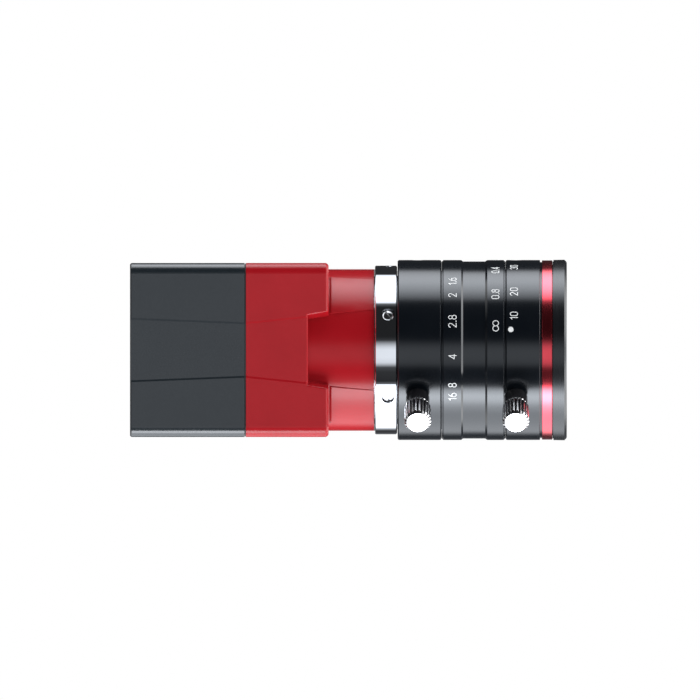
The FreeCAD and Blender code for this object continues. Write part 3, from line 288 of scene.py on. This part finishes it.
SCREW = rolled("screw_steel", (0.70, 0.70, 0.71), (0.8, 0.8, 0.81), (0.10, 0.18), (3.0, 3.0, 3.0))
KNURL = rolled("knurled_steel", (0.62, 0.62, 0.635), (0.72, 0.72, 0.735), (0.16, 0.24), (3.0, 3.0, 3.0))
# Painted shade: near-black steel for the knurl's vee grooves, standing in for the shade that falls in them.
KNURL_GROOVE_SHADE = rolled("knurl_groove_painted_shade", (0.018, 0.018, 0.020), (0.03, 0.03, 0.033), (0.3, 0.42), (3.0, 3.0, 3.0))
SCREW_BLACK = rolled("screw_black", (0.035, 0.035, 0.037), (0.05, 0.05, 0.053), (0.3, 0.42), (4.0, 4.0, 4.0))
# Painted shade: the thumb screw's shank, neck and collar are coloured near black for the shade and dark reflections
# they sit in under the head.
COLLAR_PAINTED_SHADE = turned("screw_collar_painted_shade", (0.004, 0.004, 0.005), (0.007, 0.007, 0.008), (0.16, 0.24), metallic=0.0, spec=0.3)
SEAL = moulded("seal_black", (0.006, 0.006, 0.007), (0.010, 0.010, 0.011), (0.6, 0.75))
PANEL = rolled("panel_black", (0.012, 0.012, 0.013), (0.018, 0.018, 0.020), (0.38, 0.5), (6.0, 0.5, 9.0), metallic=0.0)
PORT = rolled("port_steel", (0.6, 0.6, 0.61), (0.7, 0.7, 0.71))
PORT_BLACK = moulded("port_black", (0.010, 0.010, 0.011), (0.016, 0.016, 0.017), (0.35, 0.5))
GOLD = rolled("contact_gold", (0.85, 0.55, 0.18), (0.95, 0.65, 0.25), (0.12, 0.2))
BRASS = rolled("pad_brass", (0.55, 0.36, 0.12), (0.65, 0.45, 0.16), (0.2, 0.3))
PIPE = optical("light_pipe", (0.9, 0.98, 0.92), 0.0, 1.49)
GLASS = optical("optical_glass", (0.97, 0.985, 0.98), 210.0, 1.34)
DEEP_GLASS = optical("coated_inner_glass", (0.96, 0.975, 0.985), 0.0, 1.07)  # fully coated, so it hardly reflects
COVER = optical("cover_glass", (0.98, 0.99, 0.99), 120.0, 1.52)
FILTER = optical("filter_glass", (0.75, 0.92, 0.93), 380.0, 1.52)
BOARD = moulded("board_green", (0.012, 0.10, 0.045), (0.018, 0.13, 0.06), (0.25, 0.35), 3.0)
CHIP = moulded("chip_black", (0.012, 0.012, 0.013), (0.018, 0.018, 0.019), (0.45, 0.6))
CERAMIC = moulded("ceramic_grey", (0.30, 0.28, 0.26), (0.36, 0.34, 0.31), (0.5, 0.6))
SILICON = rolled("silicon", (0.16, 0.12, 0.24), (0.2, 0.17, 0.3), (0.05, 0.1), (20.0, 20.0, 20.0))
BLADE = turned("blade_black", (0.012, 0.012, 0.013), (0.018, 0.018, 0.02), (0.35, 0.45), spec=0.5)

for coated, level in ((GLASS, 0.12), (COVER, 0.3), (FILTER, 0.3)):  # coatings hold the reflections down
    coated.node_tree.nodes["Principled BSDF"].inputs["Specular IOR Level"].default_value = level
for black in (BARREL, BEZEL):  # a cool sheen
    black.node_tree.nodes["Principled BSDF"].inputs["Specular Tint"].default_value = (0.945, 0.975, 1.0, 1.0)

SLOTS = {
    "anodised_grey": GREY, "anodised_red": RED, "barrel_black": BARREL, "barrel_inner": INNER,
    "lens_chrome": CHROME, "accent_red": ACCENT, "screw_steel": SCREW, "screw_black": SCREW_BLACK,
    "seal_black": SEAL, "panel_black": PANEL, "port_steel": PORT, "port_black": PORT_BLACK,
    "contact_gold": GOLD, "pad_brass": BRASS, "light_pipe": PIPE, "optical_glass": GLASS,
    "cover_glass": COVER, "filter_glass": FILTER, "board_green": BOARD, "chip_black": CHIP,
    "ceramic_grey": CERAMIC, "silicon": SILICON, "blade_black": BLADE,
}
FINER = {"front_bezel": BEZEL, "front_doublet_a": DEEP_GLASS, "front_doublet_b": DEEP_GLASS, "rear_doublet_a": DEEP_GLASS,
         "rear_doublet_b": DEEP_GLASS, "rear_lens": DEEP_GLASS, "infrared_filter": DEEP_GLASS, "sensor_cover_glass": DEEP_GLASS}
for part in frame["record"]["subparts"]:
    mesh = NODES[part["node"]].data
    mesh.materials.clear()
    mesh.materials.append(FINER.get(part["node"], SLOTS[part["material_slot"]]))

# ------------------------------------------------------------------ pieces made here

X0 = LO.x  # rear face


def piece(name, verts, faces, body, material, sharp=32.0):
    mesh = bpy.data.meshes.new(name)
    mesh.from_pydata([tuple(v) for v in verts], [], faces)
    mesh.update()
    for p in mesh.polygons:
        p.use_smooth = True
    mesh.set_sharp_from_angle(angle=math.radians(sharp))
    mesh.materials.append(material)
    obj = bpy.data.objects.new(name, mesh)
    bpy.context.scene.collection.objects.link(obj)
    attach(obj, body)
    return obj


def grid_faces(rows, cols, close=True, flip=False):
    """Quads of a grid whose vertices are numbered row by row."""
    faces = []
    for i in range(rows - 1):
        for j in range(cols if close else cols - 1):
            a, b = i * cols + j, i * cols + (j + 1) % cols
            quad = (a, b, b + cols, a + cols)
            faces.append(quad[::-1] if flip else quad)
    return faces


def knurled_screw(name, node, body, tip):
    """Thumb screw on a radius 30 degrees under the near side: threaded shank, plain neck, straight-knurled head."""
    lo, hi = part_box(node)
    x = (lo.x + hi.x) / 2
    n = Vector((0.0, -math.cos(math.radians(30.0)), -math.sin(math.radians(30.0))))
    e = Vector((1.0, 0.0, 0.0))
    t = n.cross(e)
    teeth, per = 22, 16
    cols = teeth * per

    def tooth(j):
        """1 on the flat crest, falling to 0 at the root of the vee groove."""
        u = abs(((j / per) % 1.0) - 0.5) * 2.0
        return min(1.0, u / 0.625)

    rows = [(tip, 0.62, 0.62), (tip + 0.22, 0.85, 0.85)]
    s = tip + 0.34
    while s < 14.9:
        rows += [(s, 0.86, 0.86), (s + 0.1, 0.98, 0.98), (s + 0.2, 0.98, 0.98), (s + 0.3, 0.86, 0.86)]
        s += 0.4
    rows += [(15.15, 0.9, 0.9), (15.2, 1.14, 1.14), (15.26, 1.2, 1.2), (16.05, 1.2, 1.2), (16.1, 1.26, 1.26), (16.1, 1.84, 1.84),
             (16.22, 1.97, 1.97), (19.08, 1.98, 1.98), (19.2, 1.9, 1.9), (19.28, 1.88, 2.03), (19.44, 1.9, 2.18), (19.6, 1.9, 2.22),
             (21.5, 1.9, 2.22), (23.79, 1.9, 2.22), (23.88, 1.9, 2.22), (23.97, 1.9, 2.22), (24.04, 1.9, 2.22), (24.11, 1.9, 2.22),
             (24.25, 1.76, 1.76), (24.25, 1.2, 1.2), (24.24, 0.5, 0.5)]
    verts = []
    for s, low, high in rows:
        for j in range(cols):
            a = 2 * math.pi * j / cols
            r = min(low + (high - low) * tooth(j), 1.76 + max(0.0, 24.25 - s))
            p = n * s + e * (r * math.cos(a)) + t * (r * math.sin(a))
            verts.append((x + p.x * MM, p.y * MM, AXIS_Z + p.z * MM))
    faces = grid_faces(len(rows), cols)
    for row, s, flip in ((0, rows[0][0], True), (len(rows) - 1, rows[-1][0], False)):
        p = n * s
        verts.append((x, p.y * MM, AXIS_Z + p.z * MM))
        hub = len(verts) - 1
        for j in range(cols):
            a, b = row * cols + j, row * cols + (j + 1) % cols
            faces.append((b, a, hub) if flip else (a, b, hub))
    obj = piece(name, verts, faces, body, KNURL, 24.0)
    # Everything below the knurled head takes the near-black painted shade material.
    obj.data.materials.append(COLLAR_PAINTED_SHADE)
    collar = sum(1 for row in rows if row[0] < 19.2)
    for p in obj.data.polygons[:(collar - 1) * cols]:
        p.material_index = 1
    # The groove faces of the knurled head get the near-black painted shade material, so the valleys stay dark under
    # any light.
    obj.data.materials.append(KNURL_GROOVE_SHADE)
    knurl = [i for i, row in enumerate(rows[:-1]) if 19.2 <= row[0] < 24.1]
    for i in knurl:
        for j in range(cols):
            if tooth(j + 0.5) < 0.72:
                obj.data.polygons[i * cols + j].material_index = 2
    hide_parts(node)
    return obj


def grub_screws():
    """Six slotted, slightly domed cup screws sunk in the mount ring."""
    lo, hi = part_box("mount_grub_screws")
    x0 = (lo.x + hi.x) / 2
    rad, half_slot, top = 0.985, 0.19, 13.80
    edge = math.sqrt(rad * rad - half_slot * half_slot)
    columns = 26
    verts, faces = [], []
    for k in range(6):
        a = math.radians(-85.0 + 60.0 * k)
        n = Vector((0.0, -math.cos(a), -math.sin(a)))
        side = Vector((0.0, -n.z, n.y))
        twist = math.radians(38.0 + 17.0 * k)

        def height(u, v):
            rho = min(1.0, math.hypot(u, v) / rad)
            rim = min(1.0, max(0.0, (rho - 0.80) / 0.20))
            return top - 0.16 * rho * rho - 0.16 * rim * rim

        rows = []
        for i in range(columns + 1):
            u = -edge * math.cos(math.pi * i / columns)
            vo = math.sqrt(max(rad * rad - u * u, half_slot * half_slot))
            ts = (1.0, 0.93, 0.86, 0.72, 0.55, 0.36, 0.18, 0.0)
            section = [(-vo, 12.4), (-vo, 13.2)]
            section += [(-(half_slot + t * (vo - half_slot)), None) for t in ts]
            section += [(-half_slot, 13.36), (-half_slot * 0.8, 13.33), (half_slot * 0.8, 13.33), (half_slot, 13.36)]
            section += [(half_slot + t * (vo - half_slot), None) for t in reversed(ts)]
            section += [(vo, 13.2), (vo, 12.4)]
            rows.append([(u, v, height(u, v) if s is None else s) for v, s in section])
        base, cols = len(verts), len(rows[0])
        for row in rows:
            for u, v, s in row:
                pu, pv = u * math.cos(twist) - v * math.sin(twist), u * math.sin(twist) + v * math.cos(twist)
                p = n * s + side * pv
                verts.append((x0 + pu * MM, p.y * MM, AXIS_Z + p.z * MM))
        faces += [tuple(base + i for i in f) for f in grid_faces(len(rows), cols, close=False)]
        faces.append(tuple(base + i for i in range(cols)))
        faces.append(tuple(base + (len(rows) - 1) * cols + i for i in reversed(range(cols))))
    obj = piece("mount_grub_screws_slotted", verts, faces, "camera", SCREW, 35.0)
    bm = bmesh.new()
    bm.from_mesh(obj.data)
    bmesh.ops.recalc_face_normals(bm, faces=bm.faces)
    bm.to_mesh(obj.data)
    bm.free()
    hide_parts("mount_grub_screws")


STROKE = 0.125


def arc(cx, cy, rx, ry, a0, a1, n=14):
    return [(cx + rx * math.cos(math.radians(a0 + (a1 - a0) * i / n)), cy + ry * math.sin(math.radians(a0 + (a1 - a0) * i / n)))
            for i in range(n + 1)]


GLYPHS = {  # strokes in a cell one unit high, and the width of the cell
    "0": ([arc(0.24, 0.74, 0.24, 0.26, 0, 180) + arc(0.24, 0.26, 0.24, 0.26, 180, 360) + [(0.48, 0.74)]], 0.48),
    "1": ([[(0.0, 0.76), (0.2, 1.0), (0.2, 0.0)]], 0.2),
    "2": ([arc(0.23, 0.75, 0.23, 0.25, 172, -38) + [(0.0, 0.0), (0.47, 0.0)]], 0.47),
    "3": ([arc(0.22, 0.755, 0.22, 0.245, 160, -85) + arc(0.22, 0.26, 0.25, 0.26, 85, -160)], 0.47),
    "4": ([[(0.36, 0.0), (0.36, 1.0), (0.0, 0.27), (0.5, 0.27)]], 0.5),
    "6": ([arc(0.24, 0.29, 0.24, 0.29, 0, 360, 22), arc(0.5, 0.3, 0.5, 0.7, 178, 112, 10)], 0.48),
    "8": ([arc(0.23, 0.765, 0.2, 0.235, 0, 360, 22), arc(0.23, 0.265, 0.235, 0.265, 0, 360, 22)], 0.47),
    ".": ([[(0.0, 0.03), (0.02, 0.03)]], 0.02),
    "~": ([arc(0.335, 0.46, 0.335, 0.40, 0, 360, 24), arc(1.005, 0.46, 0.335, 0.40, 0, 360, 24)], 1.34),
}


def ribbon(points, half):
    """A round-ended stroke of the given half width as a flat strip with its caps, in the plane."""
    dense = [points[0]]
    for a, b in zip(points, points[1:]):
        steps = max(1, int(math.dist(a, b) / 0.12))
        dense += [(a[0] + (b[0] - a[0]) * i / steps, a[1] + (b[1] - a[1]) * i / steps) for i in range(1, steps + 1)]
    pts = [p for i, p in enumerate(dense) if i == 0 or math.dist(p, dense[i - 1]) > 1e-6]
    left, right = [], []
    for i, p in enumerate(pts):
        q0, q1 = pts[max(i - 1, 0)], pts[min(i + 1, len(pts) - 1)]
        dx, dy = q1[0] - q0[0], q1[1] - q0[1]
        norm = math.hypot(dx, dy) or 1.0
        widen = 1.0
        if 0 < i < len(pts) - 1:
            ax, ay = p[0] - pts[i - 1][0], p[1] - pts[i - 1][1]
            bx, by = pts[i + 1][0] - p[0], pts[i + 1][1] - p[1]
            cosine = (ax * bx + ay * by) / (math.hypot(ax, ay) * math.hypot(bx, by))
            widen = min(1.6, 1.0 / math.sqrt(max(0.2, (1 + cosine) / 2)))
        nx, ny = -dy / norm * half * widen, dx / norm * half * widen
        left.append((p[0] + nx, p[1] + ny))
        right.append((p[0] - nx, p[1] - ny))
    verts = left + right
    k = len(pts)
    faces = [(i, i + 1, k + i + 1, k + i) for i in range(k - 1)]
    for end, (p, q) in ((0, (pts[0], pts[1])), (k - 1, (pts[-1], pts[-2]))):
        away = math.atan2(p[1] - q[1], p[0] - q[0])
        base = len(verts)
        fan = [(p[0] + half * math.cos(away + math.pi / 2 - math.pi * i / 8), p[1] + half * math.sin(away + math.pi / 2 - math.pi * i / 8))
               for i in range(9)]
        verts += fan
        faces.append(tuple(range(base, base + 9)))
    return verts, faces


def printed(name, body, text, station, degrees, height, r, half=STROKE / 2, proud=0.014):
    """Printed numbers on a ring of radius r, read upward from the near side: baseline at a station, centred on an angle."""
    gap, spread = 0.27, 1.12
    widths = [GLYPHS[c][1] * spread for c in text]
    total = sum(widths) + gap * (len(text) - 1)
    at, verts, faces = -total / 2, [], []
    for c, w in zip(text, widths):
        for stroke in GLYPHS[c][0]:
            pts = [((at + px * spread) * height, py * height) for px, py in stroke]
            v, f = ribbon(pts, half * (1.5 if c == "." else 1.0))
            base = len(verts)
            verts += v
            faces += [tuple(base + i for i in face) for face in f]
        at += w + gap
    raise_and_wrap(name, body, verts, faces, station, degrees, r, proud)


def raise_and_wrap(name, body, verts, faces, station, degrees, r, proud):
    bm = bmesh.new()
    made = [bm.verts.new((u, v, 0.0)) for u, v in verts]
    for f in faces:
        try:
            bm.faces.new([made[i] for i in f])
        except ValueError:
            pass
    bmesh.ops.triangulate(bm, faces=[f for f in bm.faces if len(f.verts) > 4])
    bmesh.ops.recalc_face_normals(bm, faces=bm.faces)
    for f in bm.faces:
        if f.normal.z < 0:
            f.normal_flip()
    top = list(bm.faces)
    skin = bmesh.ops.extrude_face_region(bm, geom=top)
    for v in [g for g in skin["geom"] if isinstance(g, bmesh.types.BMVert)]:
        v.co.z = proud + 0.012
    bm.verts.index_update()
    out = []
    for v in bm.verts:
        a = math.radians(degrees) + v.co.x / r
        rr = r - 0.012 + v.co.z
        out.append((X0 + (station - v.co.y) * MM, -rr * math.cos(a) * MM, AXIS_Z + rr * math.sin(a) * MM))
    polys = [tuple(v.index for v in f.verts) for f in bm.faces]
    bm.free()
    return piece(name, out, polys, body, PRINT, 40.0)


def outline(kind, size, corner=0.0):
    """Closed outline round the axis: a circle, or a square with round corners, as (y, z)."""
    if kind == "round":
        return [(size * math.cos(2 * math.pi * i / 240), size * math.sin(2 * math.pi * i / 240)) for i in range(240)]
    points = []
    for k in range(4):
        cx, cy = [(1, 1), (-1, 1), (-1, -1), (1, -1)][k]
        for i in range(13):
            a = math.radians(90 * k + 90 * i / 12)
            points.append((cx * (size - corner) + corner * math.cos(a), cy * (size - corner) + corner * math.sin(a)))
    return points


def packing(name, body, x0, x1, inner, outer, material, kind="round", corner=0.0):
    """A thin ring that closes a joint between two bodies, its outer corners broken."""
    c = min(0.02, (x1 - x0) / 4)
    section = [(x0, inner), (x0, outer - c), (x0 + c, outer), (x1 - c, outer), (x1, outer - c), (x1, inner)]
    verts, cols = [], 0
    for x, size in section:
        ring = outline(kind, size, max(0.3, corner - (outer - size)))
        cols = len(ring)
        verts += [(x * MM, y * MM, AXIS_Z + z * MM) for y, z in ring]
    faces = grid_faces(len(section), cols)
    faces += [((len(section) - 1) * cols + j, (len(section) - 1) * cols + (j + 1) % cols, (j + 1) % cols, j) for j in range(cols)]
    return piece(name, verts, faces, body, material, 40.0)


grub_screws()
packing("gasket_lip", "camera", hi_x("rear_housing") / MM + 0.02, lo_x("front_housing") / MM - 0.02, 14.1, 14.42, SEAL, "square", 1.7)
# Painted shade: a thin black ring fills the joint between front housing and lens mount so that the joint shows dark,
# as a narrow shaded gap does.
packing("mount_gap_shade_ring", "camera", hi_x("front_housing") / MM + 0.015, hi_x("front_housing") / MM + 0.125, 12.32, 13.45, SEAL)
packing("focus_dust_ring", "camera", hi_x("centre_barrel") / MM - 6.075, hi_x("centre_barrel") / MM - 6.01, 13.2, 14.66, BARREL)
packing("iris_dust_ring", "camera", hi_x("iris_ring") / MM + 0.01, hi_x("iris_ring") / MM + 0.07, 13.2, 14.66, BARREL)
knurled_screw("iris_lock_screw_knurled", "iris_lock_screw", "iris_lock_screw", 13.67)
knurled_screw("focus_lock_screw_knurled", "focus_lock_screw", "focus_lock_screw", 13.9)

R_BARREL = radius("focus_ring") / MM
F_STOPS = [("1.6", 49.9), ("2", 37.6), ("2.8", 18.7), ("4", -4.2), ("8", -23.0), ("16", -31.2)]
for text, degrees in F_STOPS:
    printed("f_number_" + text.replace(".", "_"), "camera", text, 54.38, degrees, 1.29, R_BARREL)
for text, degrees in (("~", 15.6), ("0.8", 38.5), ("0.4", 62.8), ("0.3", 91.0), ("0.2", 120.5)):
    label = {"~": "infinity"}.get(text, text.replace(".", "_"))
    printed("distance_" + label, "camera", text, 61.5, degrees, 1.2, R_BARREL)
for text, degrees in (("10", 22.5), ("20", 40.5), ("30", 67.0)):
    printed("ring_number_" + text, "focus_ring", text, 64.6, degrees, 1.22, R_BARREL)


def dot(name, body, station, degrees, size, r):
    verts = [(0.0, 0.0)] + [(size * math.cos(2 * math.pi * i / 32), size * math.sin(2 * math.pi * i / 32)) for i in range(32)]
    faces = [(0, 1 + i, 1 + (i + 1) % 32) for i in range(32)]
    return raise_and_wrap(name, body, verts, faces, station, degrees, r, 0.014)


dot("focus_index_dot", "focus_ring", (510.8 - 130.0) / 6.0, 13.2, 0.45, R_BARREL)

# ------------------------------------------------------------------ lights, floor and camera

floor_z = LO.z - 0.00002
size = 9.0
mesh = bpy.data.meshes.new("studio_floor")
mesh.from_pydata([(-size, -size, floor_z), (size, -size, floor_z), (size, size, floor_z), (-size, size, floor_z)], [], [(0, 1, 2, 3)])
floor = bpy.data.objects.new("studio_floor", mesh)
bpy.context.scene.collection.objects.link(floor)
g = Graph("studio_floor")
g.colour(g.mix(g.noise(0.004, 2.0), (0.50, 0.50, 0.497), (0.512, 0.512, 0.509)))
g.set(Roughness=0.9)
g.bsdf.inputs["Specular IOR Level"].default_value = 0.1
back = g.node("ShaderNodeNewGeometry")  # seen from above only
clear = g.node("ShaderNodeBsdfTransparent")
either_side = g.node("ShaderNodeMixShader")
g.link(back.outputs["Backfacing"], either_side.inputs[0])
g.link(g.bsdf.outputs[0], either_side.inputs[1])
g.link(clear.outputs[0], either_side.inputs[2])
g.link(either_side.outputs[0], g.out.inputs["Surface"])
mesh.materials.append(g.mat)
floor.visible_glossy = False
floor.visible_diffuse = False
floor.visible_shadow = False
floor.visible_transmission = False

# Soft cards round the object, as a field of light by elevation: 0 is the near side, 90 overhead, -90 underneath.
CARDS = [
    (-180, 0.30), (-160, 0.07), (-146, 0.04), (-139, 0.4), (-130, 2.2), (-117, 2.9), (-103, 3.3), (-90, 3.7), (-78, 5.6), (-68, 10.4),
    (-62, 12.0), (-53, 8.0), (-50.2, 4.0), (-47.8, 0.2), (-44, 0.03), (-30, 0.04), (-23.5, 0.08), (-17.2, 0.86), (-10, 1.01), (0, 1.0),
    (4, 0.82), (8, 0.48), (13, 0.05), (18, 0.02), (61.5, 0.02), (66, 0.14), (71, 2.2), (84, 5.1), (97, 6.3), (106, 5.6), (118, 3.4),
    (127, 0.03),
]
PEAK = 12.0
world = bpy.data.worlds.new("studio")
bpy.context.scene.world = world
world.use_nodes = True
tree = world.node_tree
tree.nodes.clear()


def w_node(kind, **values):
    n = tree.nodes.new(kind)
    for key, value in values.items():
        setattr(n, key, value)
    return n


def w_math(op, a, b=0.0, clamp=False):
    n = w_node("ShaderNodeMath", operation=op, use_clamp=clamp)
    for i, v in enumerate((a, b)):
        if isinstance(v, bpy.types.NodeSocket):
            tree.links.new(v, n.inputs[i])
        else:
            n.inputs[i].default_value = v
    return n.outputs[0]


coord = w_node("ShaderNodeTexCoord")
split = w_node("ShaderNodeSeparateXYZ")
tree.links.new(coord.outputs["Generated"], split.inputs[0])
elevation = w_math("ARCTAN2", split.outputs[2], w_math("MULTIPLY", split.outputs[1], -1.0))
turn = w_math("ADD", w_math("DIVIDE", elevation, 2 * math.pi), 0.5)
field = w_node("ShaderNodeValToRGB")
stops = field.color_ramp.elements
while len(stops) > 1:
    stops.remove(stops[-1])
stops[0].position, stops[0].color = 0.0, grey(CARDS[0][1] / PEAK)
for degrees, level in CARDS[1:]:
    stops.new((degrees + 180) / 360).color = grey(level / PEAK)
tree.links.new(turn, field.inputs[0])


def w_step(value, low, high, start, end):
    n = w_node("ShaderNodeMapRange", interpolation_type="SMOOTHSTEP")
    tree.links.new(value, n.inputs["Value"])
    for key, v in (("From Min", low), ("From Max", high), ("To Min", start), ("To Max", end)):
        n.inputs[key].default_value = v
    return n.outputs[0]


reach = w_step(w_math("ABSOLUTE", split.outputs[0]), 0.62, 0.92, PEAK, 0.04 * PEAK)
long_cards = w_node("ShaderNodeBackground")
cool = w_node("ShaderNodeVectorMath", operation="MULTIPLY")
tree.links.new(field.outputs[0], cool.inputs[0])
cool.inputs[1].default_value = (0.965, 1.0, 1.055)
cap = w_node("ShaderNodeVectorMath", operation="MINIMUM")  # the hot cards are short, the others long
tree.links.new(cool.outputs[0], cap.inputs[0])
short = w_node("ShaderNodeCombineXYZ")
for i in range(3):
    tree.links.new(w_step(w_math("ABSOLUTE", split.outputs[0]), 0.18, 0.45, 1.1, 0.16), short.inputs[i])
tree.links.new(short.outputs[0], cap.inputs[1])
tree.links.new(cap.outputs[0], long_cards.inputs["Color"])
tree.links.new(reach, long_cards.inputs["Strength"])
front_card = w_math("MULTIPLY", w_step(split.outputs[0], 0.46, 0.90, 0.0, 4.4), w_step(split.outputs[0], 0.982, 0.997, 1.0, 0.3))
rear_card = w_step(split.outputs[0], -0.985, -0.90, 0.7, 0.0)
end_cards = w_node("ShaderNodeBackground")
end_cards.inputs["Color"].default_value = (1, 1, 1, 1)
tree.links.new(w_math("ADD", front_card, rear_card), end_cards.inputs["Strength"])
cards = w_node("ShaderNodeAddShader")
tree.links.new(long_cards.outputs[0], cards.inputs[0])
tree.links.new(end_cards.outputs[0], cards.inputs[1])
sweep = w_node("ShaderNodeBackground")
sweep.inputs["Color"].default_value = (1, 1, 1, 1)
sweep.inputs["Strength"].default_value = 1.0
path = w_node("ShaderNodeLightPath")
either = w_node("ShaderNodeMixShader")
tree.links.new(path.outputs["Is Camera Ray"], either.inputs[0])
tree.links.new(cards.outputs[0], either.inputs[1])
tree.links.new(sweep.outputs[0], either.inputs[2])
out = w_node("ShaderNodeOutputWorld")
tree.links.new(either.outputs[0], out.inputs["Surface"])

camera = bpy.data.objects.new("camera_view", bpy.data.cameras.new("camera_view"))
bpy.context.scene.collection.objects.link(camera)
bpy.context.scene.camera = camera
camera.data.type = "ORTHO"
camera.data.ortho_scale = 0.700 / 6.0
camera.location = (LO.x + 220 / 6.0 * MM, LO.y - 1.0, AXIS_Z)
camera.rotation_euler = (math.pi / 2, 0.0, 0.0)
camera.data.clip_start, camera.data.clip_end = 0.01, 10.0
bpy.context.scene.view_settings.view_transform = "Standard"
